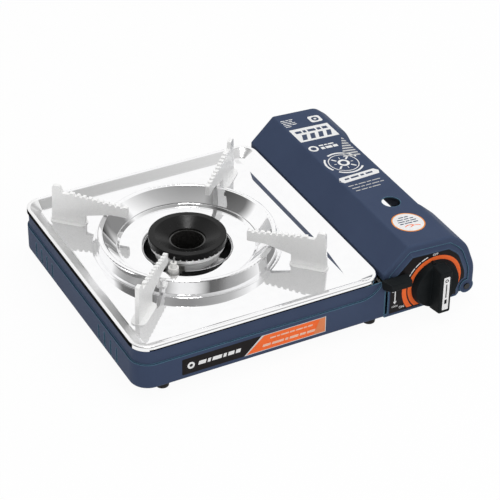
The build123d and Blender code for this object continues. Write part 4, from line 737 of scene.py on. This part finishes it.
# ---------------------------------------------------------------- studio
# Diffuse light comes evenly from all round. Mirrors see a studio: a white sweep behind the
# stove that darkens overhead, towards the camera's side and in a band along the horizon, with
# a bright panel low in front and two dark flags.
EVEN_LIGHT = 0.55
SWEEP = ((0.0, 0.04), (0.17, 0.16), (0.24, 0.34), (0.38, 0.50), (0.50, 0.78), (0.58, 0.98),
         (0.66, 1.0))  # grey levels from the front to the back
SWEEP_TURN = 0.55  # how far the sweep stands to the right of straight behind
HORIZON = ((0.0, 0.02), (0.06, 0.08), (0.13, 0.28), (0.20, 0.80), (0.27, 1.0), (0.80, 1.0),
           (0.92, 0.94), (1.0, 0.80))  # grey levels from the horizon to straight up
PANEL_FACING = (-0.469, -0.883)  # direction of the panel, across and along
PANEL_SIDES = (0.80, 0.93)  # cosines over which its sides grow bright
PANEL_FOOT = (0.14, 0.24)  # and heights over which its foot does
PANEL_LEVEL = 0.9
FLAGS = (  # direction, cosines over which its edge darkens, and how much light it takes
    ((-0.65, 0.20, 0.73), (0.88, 0.965), 0.80),
    ((0.91, 0.15, 0.38), (0.90, 0.975), 0.75),
)


def grey_ramp(tree, value, stops):
    """Grey level along a value, between stops of (value, level), the values rising."""
    node = tree.nodes.new("ShaderNodeValToRGB")
    spots = node.color_ramp.elements
    while len(spots) < len(stops):
        spots.new(0.5)
    for spot, (at, grey) in zip(spots, stops):
        spot.position = at
        spot.color = (grey, grey, grey, 1)
    tree.links.new(value, node.inputs["Fac"])
    return node.outputs["Color"]


def mixed(tree, factor, under, over):
    """One shader over another, by a factor."""
    node = tree.nodes.new("ShaderNodeMixShader")
    for socket, value in zip(node.inputs, (factor, under, over)):
        tree.links.new(value, socket)
    return node.outputs[0]


world = bpy.data.worlds.new("studio")
bpy.context.scene.world = world
world.use_nodes = True
air = world.node_tree
heading = air.nodes.new("ShaderNodeTexCoord").outputs["Generated"]
split = air.nodes.new("ShaderNodeSeparateXYZ")
air.links.new(heading, split.inputs[0])
head_x, head_y, head_z = (split.outputs[axis] for axis in "XYZ")

sideways = calculated(air, "MULTIPLY", head_x, SWEEP_TURN)
backward = calculated(air, "ADD", head_y, sideways)
sweep = grey_ramp(air, calculated(air, "MULTIPLY_ADD", backward, 0.4, 0.5), SWEEP)
studio = calculated(air, "MULTIPLY", sweep, grey_ramp(air, head_z, HORIZON))
in_front = calculated(air, "ADD", calculated(air, "MULTIPLY", head_x, PANEL_FACING[0]),
                      calculated(air, "MULTIPLY", head_y, PANEL_FACING[1]))
panel = calculated(air, "MULTIPLY", spread(air, in_front, 0, PANEL_LEVEL, *PANEL_SIDES),
                   spread(air, head_z, 0, 1, *PANEL_FOOT))
studio = calculated(air, "MAXIMUM", studio, panel)
for direction, edge, taken in FLAGS:
    flag = air.nodes.new("ShaderNodeVectorMath")
    flag.operation = "DOT_PRODUCT"
    air.links.new(heading, flag.inputs[0])
    flag.inputs[1].default_value = direction
    shade = spread(air, flag.outputs["Value"], 1.0, 1.0 - taken, *edge)
    studio = calculated(air, "MULTIPLY", studio, shade)

even = air.nodes["Background"]
even.inputs["Color"].default_value = (1, 1, 1, 1)
even.inputs["Strength"].default_value = EVEN_LIGHT
reflected = air.nodes.new("ShaderNodeBackground")
air.links.new(studio, reflected.inputs["Color"])
seen = air.nodes.new("ShaderNodeBackground")
seen.inputs["Color"].default_value = (1, 1, 1, 1)
rays = air.nodes.new("ShaderNodeLightPath").outputs
light = mixed(air, rays["Is Glossy Ray"], even.outputs[0], reflected.outputs[0])
light = mixed(air, rays["Is Camera Ray"], light, seen.outputs[0])
light = mixed(air, rays["Is Transmission Ray"], light, seen.outputs[0])
air.links.new(light, air.nodes["World Output"].inputs["Surface"])

# ---------------------------------------------------------------- floor and lamps
FLOOR_HALF = 4  # half the floor's side
FLOOR_GLOW = 0.95  # how much of the floor that the camera and mirrors see is plain white
LAMP_AIM = Vector((0, 0, 0.04))

floor_material, tree, shader = new_tree("floor")
shader.inputs["Base Color"].default_value = (0.9, 0.9, 0.9, 1)
shader.inputs["Roughness"].default_value = 0.9
glow = tree.nodes.new("ShaderNodeEmission")
rays = tree.nodes.new("ShaderNodeLightPath").outputs
direct = calculated(tree, "MAXIMUM", rays["Is Camera Ray"], rays["Is Glossy Ray"])
lit = mixed(tree, calculated(tree, "MULTIPLY", direct, FLOOR_GLOW), shader.outputs[0],
            glow.outputs[0])
tree.links.new(lit, tree.nodes["Material Output"].inputs["Surface"])
floor_shape = bmesh.new()
bmesh.ops.create_grid(floor_shape, x_segments=8, y_segments=8, size=FLOOR_HALF)
floor = add_object("floor", floor_shape, floor_material)


def softbox(name, place, size, power, mirrored):
    """A square lamp that faces the stove, and that mirrors show or not."""
    lamp = bpy.data.lights.new(name, "AREA")
    lamp.size = size
    lamp.energy = power
    holder = bpy.data.objects.new(name, lamp)
    bpy.context.scene.collection.objects.link(holder)
    holder.location = place
    holder.visible_glossy = mirrored
    holder.rotation_euler = (LAMP_AIM - Vector(place)).to_track_quat("-Z", "Y").to_euler()


softbox("key", (0.75, 0.15, 1.9), 1.2, 8.5, mirrored=False)
softbox("overhead", (0.03, 0.22, 2.0), 0.40, 6, mirrored=True)
softbox("fill", (-1.3, -1.4, 0.8), 0.9, 5, mirrored=False)
softbox("fill_right", (1.0, -1.5, 0.9), 0.9, 6.5, mirrored=False)

bpy.context.scene.view_settings.view_transform = "Standard"
